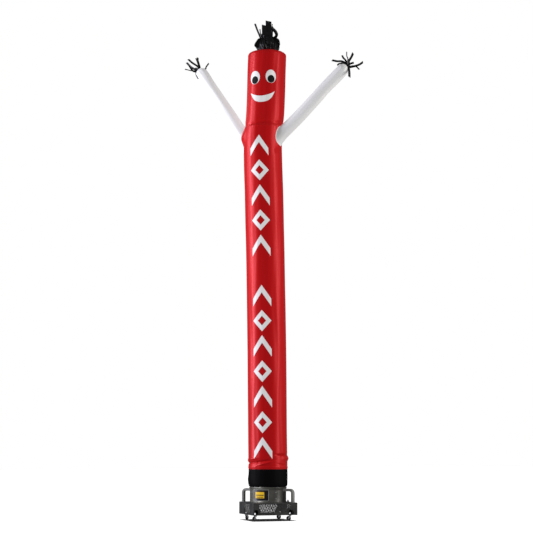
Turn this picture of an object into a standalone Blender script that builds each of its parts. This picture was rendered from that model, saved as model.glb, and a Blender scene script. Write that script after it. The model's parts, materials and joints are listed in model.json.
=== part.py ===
"""Inflatable air dancer standing on its wheeled blower.

Metres, +Z up. The origin is on the floor under the middle of the blower, whose front faces -Y.
Azimuths are in degrees, from the front (-Y) towards +X. The cloth tube sways along SWAY_AZIMUTH and
carries its face and its column of motifs at FACE_AZIMUTH. Cloth is a hollow sheet of its real outline.
"""

import math

import bmesh
import bpy
from mathutils import Matrix, Vector

# cloth tube
CLOTH = 0.002  # sheet thickness
APPLIQUE = 0.001  # thickness of what is sewn on the tube
SEAM_GAP = 0.0003  # between pieces that touch
LIFT = 0.0012  # of an applique over the curved cloth
RADIUS_FOOT = 0.2275  # of the tube at its foot, an 18 inch tube
RADIUS_TOP = 0.2312  # of the tube at the head
SLEEVE_FOOT = 0.3868  # lowest edge of the black sleeve
SLEEVE_TOP = 0.591  # where black changes to red
NECK = 4.66  # seam between torso and head
SHOULDER = 4.54  # height of the arms' seams
HEAD_TOP = 5.545  # seam between head and cap
CAP_FLAT = 5.600  # level middle of the cap
AROUND = 28  # steps round the tube
SWAY_AZIMUTH = 71.4  # level direction in which the tube sways
FACE_AZIMUTH = -30.0
FACE_ROLL = 2.0  # degrees, right side of the face higher

# blower
BASE_WIDTH = 0.54  # X
BASE_DEPTH = 0.54  # Y
BASE_FOOT = 0.067
BASE_TOP = 0.209
BASE_SHEET = 0.003
DRUM_RADIUS = 0.213
DRUM_SHEET = 0.0045
DRUM_STEPS = 28
RIM_TOP = 0.384
RIM_TALL = 0.018
COLLAR_RADIUS = 0.2105
COLLAR_TOP = 0.432
WINDOWS = (
    # wall, turn, outline along the wall and up it, as seen from outside
    ("front", 0.0, ((-0.182, 0.101), (0.141, 0.101), (0.188, 0.191), (-0.203, 0.191))),
    ("right", 90.0, ((-0.105, 0.080), (0.105, 0.080), (0.109, 0.191), (-0.109, 0.191))),
    ("back", 180.0, ((-0.174, 0.075), (0.174, 0.075), (0.222, 0.190), (-0.222, 0.190))),
    ("left", 270.0, ((-0.070, 0.080), (0.140, 0.080), (0.144, 0.191), (-0.074, 0.191))),
)
MESH_LAP = 0.004  # of each mesh behind the wall round its window
MESH_SHEET = 0.0015
ARCHES = (("left", -0.229), ("right", 0.190))  # openings of the front wall over the casters
ARCH_RADIUS = 0.034
ARCH_FOOT = 0.080
ARCH_SPRING = 0.098  # height from which the opening is half-round
CASTER_X = 0.212
CASTER_Y = 0.175
HANDLES = (
    # name, azimuth of the corner that it stands on
    ("handle_left", -135.0),
    ("handle_right", 45.0),
)
HANDLE_REACH = 0.3205  # of the upright from the drum's axis
HANDLE_TOP = 0.351  # centre line of the bar
HANDLE_WIDE = 0.052
HANDLE_THICK = 0.030
HANDLE_EDGE = 0.006  # cut off each corner of the section
HANDLE_BEND = 0.034
LABEL_AZIMUTH = -43.0
LABEL_TURN = 55.0  # degrees of the drum that the label frame covers
LABEL_FOOT = 0.225
LABEL_TOP = 0.358
BOLT_HEIGHTS = (0.252, 0.325)
BOLT_TALL = 0.0044
BOLT_TURN = 180.0 / DRUM_STEPS  # of the front bolts, on a flat of the drum
GLAND_PLACE = (0.238, -0.026)
PATCH_SHIFT = -4.0  # degrees of the coloured patch from the label's middle

# caster
WHEEL_RADIUS = 0.028
WHEEL_WIDTH = 0.019
WHEEL_TRAIL = 0.018
WHEEL_STEPS = 16
AXLE_HEIGHT = WHEEL_RADIUS * math.cos(math.pi / WHEEL_STEPS)
AXLE_RADIUS = 0.003
BORE_RADIUS = 0.0036
PLATE_SIDE = 0.044
PLATE_THICK = 0.0025
FORK_TOP = 0.0639
FORK_CROWN = 0.0045
FORK_LEG = 0.0022
FORK_SPACE = 0.021  # between the legs

# How far the tube's middle lies from the origin along SWAY_AZIMUTH, by height.
SWAY = (
    # height, offset
    (0.38, 0.000),
    (0.90, -0.005),
    (1.70, -0.012),
    (2.50, -0.021),
    (3.30, -0.034),
    (3.90, -0.047),
    (4.30, -0.060),
    (4.50, -0.063),
    (4.66, -0.051),
    (4.85, -0.035),
    (5.10, -0.025),
    (5.35, -0.019),
    (5.60, -0.011),
)

# Soft folds of the tube: a row is a trough (depth below 0) or a ridge.
FOLDS = (
    # height, azimuth, half turn, half height, depth, rise per degree
    (0.678, -56.0, 62.0, 0.020, -0.009, 0.00048),
    (0.708, -84.0, 56.0, 0.030, 0.009, 0.00048),
    (0.660, -30.0, 40.0, 0.018, 0.006, 0.00110),
    (0.758, 38.0, 44.0, 0.020, -0.009, 0.0),
    (0.715, 64.0, 46.0, 0.040, 0.014, 0.0),
    (0.664, -118.0, 30.0, 0.016, -0.010, 0.0),
    (0.618, 0.0, 360.0, 0.012, 0.003, 0.0),
    (0.700, 160.0, 50.0, 0.030, -0.009, 0.00040),
    (4.680, -22.0, 46.0, 0.040, -0.020, 0.00015),
    (4.632, -22.0, 44.0, 0.022, 0.008, 0.00015),
    (4.715, 52.0, 34.0, 0.065, -0.020, 0.00030),
    (4.555, -118.0, 46.0, 0.135, 0.036, 0.0),
    (4.690, -140.0, 50.0, 0.045, -0.016, 0.0),
    (4.520, 44.0, 30.0, 0.150, 0.010, 0.0),
    (4.370, 36.0, 26.0, 0.050, -0.008, 0.0010),
)

# Heights at which the tube's rings lie: closer together at the folds.
TORSO_RINGS = (
    # from, to, steps
    (SLEEVE_TOP, 0.640, 2),
    (0.640, 0.800, 7),
    (0.800, 4.300, 7),
    (4.300, 4.540, 5),
    (4.540, NECK - SEAM_GAP, 5),
)
HEAD_RINGS = (
    # from, to, steps
    (NECK, 4.790, 5),
    (4.790, HEAD_TOP - SEAM_GAP, 4),
)

# Outline of the sleeve above its foot, which is drawn in round the drum's collar.
SLEEVE = (
    # height, share of the tube's radius
    (0.390, 0.960),
    (0.397, 0.981),
    (0.409, 0.993),
    (0.428, 1.000),
    (SLEEVE_TOP - SEAM_GAP, 1.000),
)

# Outline of the cap, from the head's seam over its puffed rim to its middle.
CAP = (
    # share of the tube's radius, height
    (1.000, HEAD_TOP),
    (0.996, 5.560),
    (0.975, 5.574),
    (0.930, 5.583),
    (0.800, 5.592),
    (0.580, CAP_FLAT),
    (0.000, CAP_FLAT),
)

# Middle line of each arm, from inside the torso to its tied end.
RIGHT_ARM = {
    "azimuth": 44.0,
    "rows": (
        # distance from the tube's middle, height, radius
        (0.150, 4.437, 0.106),
        (0.250, 4.538, 0.095),
        (0.360, 4.640, 0.085),
        (0.485, 4.753, 0.080),
        (0.690, 4.938, 0.073),
        (0.830, 5.066, 0.071),
        (0.960, 5.172, 0.072),
        (1.050, 5.247, 0.069),
        (1.090, 5.282, 0.047),
        (1.114, 5.303, 0.017),
    ),
}
LEFT_ARM = {
    "azimuth": -138.5,
    "rows": (
        # distance from the tube's middle, height, radius
        (0.150, 4.410, 0.112),
        (0.230, 4.524, 0.101),
        (0.320, 4.652, 0.088),
        (0.450, 4.838, 0.083),
        (0.640, 5.110, 0.077),
        (0.760, 5.281, 0.075),
        (0.857, 5.431, 0.073),
        (0.890, 5.472, 0.064),
        (0.910, 5.496, 0.044),
        (0.924, 5.511, 0.017),
    ),
}
ARM_AROUND = 12
ARM_STEPS = 12
KNOT_RADIUS = 0.022
KNOT_FLAT = 0.62  # share of its thickness left along the arm

# Streamers tied to each hand: where a tip lies from the knot, along SWAY_AZIMUTH, across it and up.
RIGHT_STREAMERS = (
    # along, across, upward, width, curl
    (-0.182, 0.030, 0.066, 0.016, 0.018),
    (-0.062, -0.030, 0.134, 0.015, -0.016),
    (-0.012, 0.050, 0.146, 0.015, 0.016),
    (0.062, -0.010, 0.142, 0.016, -0.015),
    (0.072, 0.055, 0.040, 0.014, 0.012),
    (0.175, 0.000, 0.028, 0.016, -0.022),
    (0.134, 0.000, -0.068, 0.015, 0.018),
    (0.016, -0.040, -0.155, 0.016, -0.016),
    (-0.118, -0.035, -0.016, 0.014, 0.014),
)
LEFT_STREAMERS = (
    # along, across, upward, width, curl
    (-0.148, 0.050, 0.102, 0.016, 0.016),
    (-0.122, -0.030, 0.118, 0.015, -0.018),
    (-0.026, 0.000, 0.146, 0.016, 0.014),
    (-0.004, 0.060, 0.140, 0.014, -0.014),
    (0.122, 0.020, 0.082, 0.015, 0.018),
    (-0.158, -0.050, -0.012, 0.014, -0.016),
    (0.012, -0.060, -0.140, 0.014, 0.012),
    (-0.070, 0.050, -0.030, 0.014, -0.018),
)

# Gathered base of the hair: a lobed bunch that narrows upwards.
HAIR_BUNCH = (
    # height over the cap, radius
    (0.0000, 0.100),
    (0.0300, 0.117),
    (0.0800, 0.136),
    (0.1200, 0.126),
    (0.1600, 0.106),
    (0.1830, 0.078),
    (0.1930, 0.040),
)
HAIR_LOBES = 7
HAIR_LOBE_DEPTH = 0.07  # share of the radius
HAIR_OFFSET = 0.004  # of the bunch along SWAY_AZIMUTH
# Strips of the hair, in the upright plane along SWAY_AZIMUTH and across it.
HAIR_STRIPS = (
    # root along, root across, tip along, tip across, tip height, width, curl
    (-0.044, 0.010, -0.044, 0.020, 5.945, 0.052, 0.010),
    (0.006, -0.020, 0.004, -0.030, 6.000, 0.056, -0.012),
    (-0.070, -0.030, -0.161, -0.050, 5.973, 0.015, -0.012),
    (-0.068, 0.040, -0.091, 0.080, 5.930, 0.014, 0.016),
    (0.055, -0.020, 0.045, -0.045, 5.938, 0.017, 0.030),
    (0.062, 0.030, 0.072, 0.060, 5.880, 0.016, -0.030),
    (0.045, 0.010, 0.058, 0.015, 5.990, 0.012, 0.012),
    (0.020, 0.055, 0.030, 0.120, 5.900, 0.030, -0.014),
    (-0.030, 0.060, -0.030, 0.130, 5.890, 0.020, 0.012),
    (-0.020, -0.060, -0.020, -0.120, 5.870, 0.018, 0.014),
)
STRIP_THICK = 0.003
STRIP_STEPS = 5

# The face: ovals and a crescent on the head.
EYES = (
    # name, azimuth, height, width, tall
    ("eye_left", -54.6, 5.243, 0.134, 0.162),
    ("eye_right", -4.4, 5.250, 0.128, 0.162),
)
PUPIL_WIDTH = 0.086
PUPIL_TALL = 0.094
PUPIL_DROP = 0.031  # of the pupil's middle under the eye's
SMILE_HEIGHT = 5.066  # of the tips
SMILE_TURN = 77.0  # degrees from tip to tip
SMILE_INNER = 0.052  # drop of the upper edge under the tips
SMILE_OUTER = 0.128  # drop of the lower edge

# The column of motifs down the front: two groups of slots.
MOTIF_TALL = 0.252
MOTIF_HALF_WIDTH = 0.112
MOTIF_STROKE = 0.062
MOTIF_GROUPS = (
    # height of the top slot's middle, slots, pitch
    (4.412, 5, 0.3012),
    (2.612, 7, 0.2960),
)
MOTIF_AZIMUTHS = (-30.0, -33.5)  # at the top slot and at the bottom slot

CASTERS = (
    # name, X side, Y side, turn of the trailing wheel
    ("front_left", -1, -1, 205.0),
    ("front_right", 1, -1, 165.0),
    ("back_left", -1, 1, 40.0),
    ("back_right", 1, 1, 168.0),
)


def collection(name):
    found = bpy.data.collections.new(name)
    bpy.context.scene.collection.children.link(found)
    return found


def material(name, colour, roughness, metallic=0.0):
    made = bpy.data.materials.new(name)
    made.use_nodes = True
    shader = made.node_tree.nodes["Principled BSDF"]
    shader.inputs["Base Color"].default_value = (*colour, 1.0)
    shader.inputs["Roughness"].default_value = roughness
    shader.inputs["Metallic"].default_value = metallic
    return made


def new_object(name, mesh_data, finish, group):
    made = bpy.data.objects.new(name, mesh_data)
    group.objects.link(made)
    if finish:
        mesh_data.materials.append(finish)
    return made


def from_bmesh(name, bm, finish, group):
    mesh = bpy.data.meshes.new(name)
    bm.to_mesh(mesh)
    bm.free()
    mesh.shade_smooth()
    mesh.set_sharp_from_angle(angle=math.radians(40))
    return new_object(name, mesh, finish, group)


def as_cutter(obj):
    obj.hide_render = True
    obj.display_type = "WIRE"
    return obj


def cut(obj, tool, how="DIFFERENCE"):
    step = obj.modifiers.new(f"{how.lower()}_{tool.name}", "BOOLEAN")
    step.operation = how
    step.object = tool
    step.solver = "EXACT"


def thicken(obj, thickness, offset):
    step = obj.modifiers.new("thickness", "SOLIDIFY")
    step.thickness = thickness
    step.offset = offset
    step.use_even_offset = True


def heading(azimuth):
    """The level direction of an azimuth."""
    turn = math.radians(azimuth)
    return Vector((math.sin(turn), -math.cos(turn), 0.0))


def through(rows, share):
    """A smooth curve through the rows of a table, read at a share from 0 to 1 of its length in rows."""
    place = min(max(share, 0.0), 1.0) * (len(rows) - 1)
    i = min(int(place), len(rows) - 2)
    t = place - i
    near = [rows[min(max(k, 0), len(rows) - 1)] for k in range(i - 1, i + 3)]
    weights = (
        -0.5 * t + t * t - 0.5 * t**3,
        1.0 - 2.5 * t * t + 1.5 * t**3,
        0.5 * t + 2.0 * t * t - 1.5 * t**3,
        -0.5 * t * t + 0.5 * t**3,
    )
    return [sum(w * row[k] for w, row in zip(weights, near)) for k in range(len(rows[0]))]


def by_height(rows, height):
    """The second column of a table at a height, smoothly between its rows."""
    i = 0
    while i < len(rows) - 2 and rows[i + 1][0] < height:
        i += 1
    part = (height - rows[i][0]) / (rows[i + 1][0] - rows[i][0])
    return through(rows, (i + min(max(part, 0.0), 1.0)) / (len(rows) - 1))[1]


def middle(height):
    """The middle of the swaying tube at a height."""
    return heading(SWAY_AZIMUTH) * by_height(SWAY, height) + Vector((0.0, 0.0, height))


def bump(x):
    """A rounded bump: 1 at 0, falling to 0 at -1 and 1."""
    return (1.0 - x * x) ** 2 if abs(x) < 1.0 else 0.0


def relief(azimuth, height):
    """How far the folds push the cloth outwards."""
    total = 0.0
    for level, direction, half_turn, half_height, depth, rise in FOLDS:
        away = (azimuth - direction + 180.0) % 360.0 - 180.0
        across = 1.0 if half_turn >= 360.0 else bump(away / half_turn)
        total += depth * across * bump((height - level - rise * away) / half_height)
    return total


def radius_at(height):
    return RADIUS_FOOT + (RADIUS_TOP - RADIUS_FOOT) * min(height / HEAD_TOP, 1.0)


def on_tube(azimuth, height, out=0.0):
    """The point of the tube's outer face at an azimuth and a height, moved outwards."""
    reach = radius_at(height) + relief(azimuth, height) + out
    return middle(height) + heading(azimuth) * reach


def ring_heights(spans):
    levels = [spans[0][0]]
    for low, high, steps in spans:
        levels += [low + (high - low) * (i + 1) / steps for i in range(steps)]
    return levels


def grid(name, place, across, along, finish, group, caps=False):
    """A surface from a flat grid whose points are placed by a function of two shares, 0 to 1."""
    bm = bmesh.new()
    bmesh.ops.create_grid(bm, x_segments=across, y_segments=along, size=0.5)
    for vert in bm.verts:
        vert.co = place(vert.co.x + 0.5, vert.co.y + 0.5)
    bmesh.ops.remove_doubles(bm, verts=bm.verts, dist=0.00002)
    if caps:
        rims = [edge for edge in bm.edges if edge.is_boundary]
        bmesh.ops.holes_fill(bm, edges=rims, sides=0)
        bmesh.ops.recalc_face_normals(bm, faces=bm.faces)
    bmesh.ops.triangulate(bm, faces=bm.faces, quad_method="FIXED")
    return from_bmesh(name, bm, finish, group)


def turned(name, profile, steps, finish, group, at=Matrix()):
    """A closed profile of (radius, height) points, turned about +Z."""
    bm = bmesh.new()
    verts = [bm.verts.new((radius, 0.0, height)) for radius, height in profile]
    for first, second in zip(verts, verts[1:] + verts[:1]):
        bm.edges.new((first, second))
    made = from_bmesh(name, bm, finish, group)
    screw = made.modifiers.new("turn", "SCREW")
    screw.steps = steps
    screw.render_steps = steps
    screw.use_merge_vertices = True
    screw.merge_threshold = 0.0001
    made.matrix_world = at
    return made


def cylinder(name, radius, height, sides, finish, group, at=Matrix(), top=None):
    bm = bmesh.new()
    bmesh.ops.create_cone(
        bm,
        cap_ends=True,
        segments=sides,
        radius1=radius,
        radius2=radius if top is None else top,
        depth=height,
    )
    made = from_bmesh(name, bm, finish, group)
    made.matrix_world = at
    return made


def block(name, size, finish, group, at=Matrix(), foot=1.0):
    """A box; foot scales its lower face along X."""
    bm = bmesh.new()
    bmesh.ops.create_cube(bm, size=1.0)
    for vert in bm.verts:
        share = foot if vert.co.z < 0.0 else 1.0
        vert.co = Vector((vert.co.x * size[0] * share, vert.co.y * size[1], vert.co.z * size[2]))
    made = from_bmesh(name, bm, finish, group)
    made.matrix_world = at
    return made


def moved(x, y, z, turn=0.0, axis="Z"):
    return Matrix.Translation((x, y, z)) @ Matrix.Rotation(math.radians(turn), 4, axis)


# ---------------------------------------------------------------- cloth tube


def tube_section(name, levels, finish, group, out=0.0):
    """A sheet round a stretch of the tube, with rings at the given heights: up outside, down inside."""
    rows = [(level, out) for level in levels] + [(level, out - CLOTH) for level in levels[::-1]]
    rows.append(rows[0])

    def place(u, v):
        return on_tube(360.0 * u, *rows[round(v * (len(rows) - 1))])

    return grid(name, place, AROUND, len(rows) - 1, finish, group)


def make_sleeve(finish, group):
    """The black sleeve: its sheet runs up outside and down inside."""
    outer = [(SLEEVE_FOOT, COLLAR_RADIUS + SEAM_GAP + CLOTH)]
    outer += [(height, radius_at(height) * share) for height, share in SLEEVE]
    rows = outer + [(height, radius - CLOTH) for height, radius in outer[::-1]] + outer[:1]

    def place(u, v):
        height, radius = rows[round(v * (len(rows) - 1))]
        return middle(height) + heading(360.0 * u) * radius

    grid("sleeve", place, AROUND, len(rows) - 1, finish, group)


def make_cap(finish, group):
    def place(u, v):
        share, height = CAP[round(v * (len(CAP) - 1))]
        return middle(height) + heading(360.0 * u) * radius_at(height) * share

    thicken(grid("head_cap", place, AROUND, len(CAP) - 1, finish, group), CLOTH, -1.0)


def arm_frame(arm, share):
    """Middle, radius and the two directions across the arm at a share of its length."""
    reach, height, radius = through(arm["rows"], share)
    ahead = through(arm["rows"], min(share + 0.01, 1.0))
    behind = through(arm["rows"], max(share - 0.01, 0.0))
    outward = heading(arm["azimuth"])
    along = outward * (ahead[0] - behind[0]) + Vector((0.0, 0.0, ahead[1] - behind[1]))
    along.normalize()
    side = heading(arm["azimuth"] + 90.0)
    shoulder = middle(SHOULDER)
    centre = Vector((shoulder.x, shoulder.y, height)) + outward * reach
    return centre, radius, side, side.cross(along), along


def arm_surface(name, arm, finish, group, out=0.0, last=1.0, caps=False):
    def place(u, v):
        centre, radius, side, rise, _ = arm_frame(arm, v * last)
        turn = 2.0 * math.pi * u
        return centre + (side * math.cos(turn) + rise * math.sin(turn)) * (radius + out)

    return grid(name, place, ARM_AROUND, ARM_STEPS, finish, group, caps)


def make_torso_and_arms(finish, arm_finish, group, cutters):
    torso = tube_section("torso", ring_heights(TORSO_RINGS), finish, group)
    levels = ring_heights(TORSO_RINGS) + ring_heights(HEAD_RINGS)
    near = [level for level in levels if SHOULDER - 0.7 < level < SHOULDER + 0.7]

    def place(u, v):
        return on_tube(360.0 * u, near[round(v * (len(near) - 1))], SEAM_GAP + 0.0002)

    envelope = as_cutter(grid("envelope", place, AROUND, len(near) - 1, None, cutters, caps=True))
    for name, arm in (("arm_right", RIGHT_ARM), ("arm_left", LEFT_ARM)):
        sleeve = arm_surface(name, arm, arm_finish, group)
        thicken(sleeve, CLOTH, -1.0)
        cut(sleeve, envelope)
        hole = arm_surface(f"hole_{name}", arm, None, cutters, out=-0.006, last=0.3, caps=True)
        cut(torso, as_cutter(hole))


# ---------------------------------------------------------------- face and motifs


def between_rings(azimuth, height, out):
    """As on_tube, but straight from ring to ring, as the tube's own sheet runs."""
    levels = ring_heights(TORSO_RINGS) + ring_heights(HEAD_RINGS)
    low = max(level for level in levels if level <= height)
    high = min(level for level in levels if level > height)
    share = (height - low) / (high - low)
    return on_tube(azimuth, low, out).lerp(on_tube(azimuth, high, out), share)


def on_front(azimuth, height, along, up, out, roll=0.0):
    """A point on the tube from its distance along the cloth and up it, from a given spot."""
    turn = math.radians(roll)
    side = along * math.cos(turn) - up * math.sin(turn)
    rise = along * math.sin(turn) + up * math.cos(turn)
    level = height + rise
    return between_rings(azimuth + math.degrees(side / radius_at(level)), level, out)


def oval(name, azimuth, height, width, tall, out, finish, group):
    def place(u, v):
        turn = -2.0 * math.pi * u
        along = 0.5 * width * v * math.cos(turn)
        up = 0.5 * tall * v * math.sin(turn)
        return on_front(azimuth, height, along, up, out, FACE_ROLL)

    thicken(grid(name, place, 16, 3, finish, group), APPLIQUE, 1.0)


def make_face(white, black, group):
    for name, azimuth, height, width, tall in EYES:
        oval(name, azimuth, height, width, tall, LIFT, white, group)
        low = height - PUPIL_DROP
        out = LIFT + APPLIQUE + LIFT
        oval(f"pupil{name[3:]}", azimuth + 0.6, low, PUPIL_WIDTH, PUPIL_TALL, out, black, group)

    def smile(u, v):
        across = 2.0 * u - 1.0
        drop = SMILE_INNER * (1.0 - across**2)
        drop += (SMILE_OUTER - SMILE_INNER) * (1.0 - v) * (1.0 - across**4)
        half = 0.5 * math.radians(SMILE_TURN) * radius_at(SMILE_HEIGHT)
        return on_front(FACE_AZIMUTH, SMILE_HEIGHT, across * half, -drop, LIFT, FACE_ROLL)

    thicken(grid("smile", smile, 14, 2, white, group), APPLIQUE, 1.0)


def chevron(name, azimuth, height, finish, group):
    """A broad arrowhead that points up."""
    foot = -0.5 * MOTIF_TALL
    fall = MOTIF_TALL - MOTIF_STROKE * 1.45

    def place(u, v):
        across = 2.0 * u - 1.0
        up = foot + fall * (1.0 - abs(across)) + v * MOTIF_STROKE * 1.45
        return on_front(azimuth, height, across * MOTIF_HALF_WIDTH, up, LIFT)

    thicken(grid(name, place, 8, 2, finish, group), APPLIQUE, 1.0)


def diamond(name, azimuth, height, finish, group):
    """An upright diamond with a diamond opening."""

    def place(u, v):
        turn = -2.0 * math.pi * u
        x, y = math.cos(turn), math.sin(turn)
        share = 1.0 / (abs(x) + abs(y))
        size = 1.0 - (1.0 - v) * MOTIF_STROKE / MOTIF_HALF_WIDTH
        along = MOTIF_HALF_WIDTH * x * share * size
        up = 0.5 * MOTIF_TALL * y * share * size
        return on_front(azimuth, height, along, up, LIFT)

    thicken(grid(name, place, 16, 3, finish, group), APPLIQUE, 1.0)


def make_motifs(finish, group):
    total = sum(slots for _, slots, _ in MOTIF_GROUPS)
    count = 0
    for top, slots, pitch in MOTIF_GROUPS:
        for slot in range(slots):
            share = count / (total - 1)
            azimuth = MOTIF_AZIMUTHS[0] + (MOTIF_AZIMUTHS[1] - MOTIF_AZIMUTHS[0]) * share
            shape = diamond if slot % 2 else chevron
            shape(f"motif_{count + 1:02d}", azimuth, top - slot * pitch, finish, group)
            count += 1


# ---------------------------------------------------------------- streamers and hair


def fuse_strip(holder, name, root, knee, tip, across, width, curl, cutters):
    """Fuses a flat four-sided strip, which leaves its root towards the knee and ends at the tip."""
    bm = bmesh.new()
    reach = tip - root
    face = reach.cross(across).normalized()
    flat = face.cross(reach).normalized()
    rings = []
    for i in range(STRIP_STEPS + 1):
        share = i / STRIP_STEPS
        path = root * (1.0 - share) ** 2 + knee * 2.0 * share * (1.0 - share) + tip * share**2
        wave = math.sin(math.pi * share) + 0.35 * math.sin(3.0 * math.pi * share)
        at = path + (face + 0.6 * flat) * curl * wave
        half = 0.5 * width * (1.0 - 0.25 * share)
        corners = ((-1, -1), (1, -1), (1, 1), (-1, 1))
        ring = [bm.verts.new(at + flat * half * a + face * 0.5 * STRIP_THICK * b) for a, b in corners]
        rings.append(ring)
    for low, high in zip(rings, rings[1:]):
        for k in range(4):
            bm.faces.new((low[k], low[(k + 1) % 4], high[(k + 1) % 4], high[k]))
    bm.faces.new(rings[0][::-1])
    bm.faces.new(rings[-1])
    bmesh.ops.recalc_face_normals(bm, faces=bm.faces)
    cut(holder, as_cutter(from_bmesh(name, bm, None, cutters)), "UNION")


def make_streamers(name, arm, rows, finish, group, cutters):
    """A knot at the end of an arm, with loose strips fused into it."""
    tip, mouth_radius, side, _, along = arm_frame(arm, 1.0)
    outward = heading(arm["azimuth"])
    level = heading(SWAY_AZIMUTH)
    beside = heading(SWAY_AZIMUTH + 90.0)
    mouth = (mouth_radius - CLOTH) / KNOT_RADIUS
    seat = KNOT_RADIUS * KNOT_FLAT * math.sqrt(1.0 - mouth**2)
    centre = tip + along * (seat + SEAM_GAP)
    bm = bmesh.new()
    bmesh.ops.create_uvsphere(bm, u_segments=12, v_segments=8, radius=KNOT_RADIUS)
    for vert in bm.verts:
        vert.co -= along * vert.co.dot(along) * (1.0 - KNOT_FLAT)
        vert.co += centre
    knot = from_bmesh(name, bm, finish, group)
    for i, (shift, depth, rise, width, curl) in enumerate(rows):
        aim = level * shift + beside * depth + Vector((0.0, 0.0, rise))
        back = aim.dot(along)
        spread = aim - along * back
        root = centre + aim.normalized() * KNOT_RADIUS * 0.3
        knee = centre + spread * 0.5 + along * (0.030 - 0.25 * min(back, 0.0))
        across = side + outward * 0.3
        fuse_strip(knot, f"{name}_{i}", root, knee, centre + aim, across, width, curl, cutters)


def make_hair(finish, group, cutters):
    """A lobed bunch on the cap, with strips that rise from its top."""
    foot = CAP_FLAT + SEAM_GAP
    along = heading(SWAY_AZIMUTH)
    across = heading(SWAY_AZIMUTH + 90.0)
    base = middle(CAP_FLAT) + along * HAIR_OFFSET
    rows = [(0.0, 0.0), *HAIR_BUNCH, (HAIR_BUNCH[-1][0] + 0.002, 0.0)]

    def place(u, v):
        up, radius = rows[round(v * (len(rows) - 1))]
        turn = 2.0 * math.pi * u
        grow = min(up / 0.05, 1.0)
        lobes = 1.0 + HAIR_LOBE_DEPTH * grow * math.cos(HAIR_LOBES * turn + 9.0 * up)
        flat = (along * math.cos(turn) + across * math.sin(turn)) * radius * lobes
        return Vector((base.x, base.y, foot + up)) + flat

    bunch = grid("hair", place, 3 * HAIR_LOBES, len(rows) - 1, finish, group)
    for i, row in enumerate(HAIR_STRIPS):
        root_along, root_across, tip_along, tip_across, tip_height, width, curl = row
        sunk = foot + 0.135 - 0.5 * (abs(root_along) + abs(root_across))
        root = Vector((0.0, 0.0, sunk)) + along * root_along + across * root_across
        tip = Vector((0.0, 0.0, tip_height)) + along * tip_along + across * tip_across
        fuse_strip(bunch, f"hair_{i}", root, root.lerp(tip, 0.5), tip, along, width, curl, cutters)


# ---------------------------------------------------------------- blower


def make_drum(finish, group):
    inner = DRUM_RADIUS - DRUM_SHEET
    profile = (
        (COLLAR_RADIUS, COLLAR_TOP),
        (COLLAR_RADIUS, RIM_TOP),
        (DRUM_RADIUS + 0.007, RIM_TOP - 0.002),
        (DRUM_RADIUS + 0.007, RIM_TOP - RIM_TALL + 0.003),
        (DRUM_RADIUS, RIM_TOP - RIM_TALL),
        (DRUM_RADIUS, BASE_TOP + 0.008),
        (DRUM_RADIUS + 0.009, BASE_TOP + 0.0045),
        (DRUM_RADIUS + 0.009, BASE_TOP + SEAM_GAP),
        (inner - 0.006, BASE_TOP + SEAM_GAP),
        (inner - 0.006, BASE_TOP + 0.005),
        (COLLAR_RADIUS - 0.004, BASE_TOP + 0.02),
        (COLLAR_RADIUS - 0.004, COLLAR_TOP),
    )
    turned("drum", profile, DRUM_STEPS, finish, group)


def wall_prism(name, outline, first, last, finish, group):
    """An outline in the plane of a wall, filled and pushed from one depth to the other."""
    bm = bmesh.new()
    face = bm.faces.new([bm.verts.new((x, first, z)) for x, z in outline])
    pushed = bmesh.ops.extrude_face_region(bm, geom=[face])["geom"]
    far = [item for item in pushed if isinstance(item, bmesh.types.BMVert)]
    bmesh.ops.translate(bm, verts=far, vec=(0.0, last - first, 0.0))
    bmesh.ops.recalc_face_normals(bm, faces=bm.faces)
    return from_bmesh(name, bm, finish, group)


def arch_outline(x):
    turns = [math.pi * i / 12 for i in range(13)]
    rim = [(x + ARCH_RADIUS * math.cos(t), ARCH_SPRING + ARCH_RADIUS * math.sin(t)) for t in turns]
    return rim + [(x - ARCH_RADIUS, ARCH_FOOT), (x + ARCH_RADIUS, ARCH_FOOT)]


def lapped(outline):
    """The outline, larger by the lap: its first two points are the lower ones, left then right."""
    ways = ((-1, -1), (1, -1), (1, 1), (-1, 1))
    return [(x + 2 * MESH_LAP * right, z + MESH_LAP * up) for (x, z), (right, up) in zip(outline, ways)]


def make_base(finish, mesh_finish, group, cutters):
    """A folded sheet box, open through four windows and the drum's hole."""
    tall = BASE_TOP - BASE_FOOT
    centre = 0.5 * (BASE_TOP + BASE_FOOT)
    base = block("base", (BASE_WIDTH, BASE_DEPTH, tall), finish, group, moved(0, 0, centre))
    edges = base.modifiers.new("folded_edges", "BEVEL")
    edges.width = 0.006
    edges.segments = 2
    inside = (BASE_WIDTH - 2 * BASE_SHEET, BASE_DEPTH - 2 * BASE_SHEET, tall - 2 * BASE_SHEET)
    cut(base, as_cutter(block("inside", inside, None, cutters, moved(0, 0, centre))))
    hole = cylinder("duct", DRUM_RADIUS - 0.012, 0.05, DRUM_STEPS, None, cutters, moved(0, 0, BASE_TOP))
    cut(base, as_cutter(hole))
    half = 0.5 * BASE_DEPTH
    inner = -half + BASE_SHEET + SEAM_GAP
    for name, turn, outline in WINDOWS:
        spin = Matrix.Rotation(math.radians(turn), 4, "Z")
        opening = wall_prism(f"window_{name}", outline, -half - 0.02, -half + 0.02, None, cutters)
        opening.matrix_world = spin
        cut(base, as_cutter(opening))
        sheet = wall_prism(f"mesh_{name}", lapped(outline), inner, inner + MESH_SHEET, mesh_finish, group)
        sheet.matrix_world = spin
    for name, x in ARCHES:
        arch = wall_prism(f"arch_{name}", arch_outline(x), -half - 0.02, -half + 0.02, None, cutters)
        cut(base, as_cutter(arch))


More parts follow.
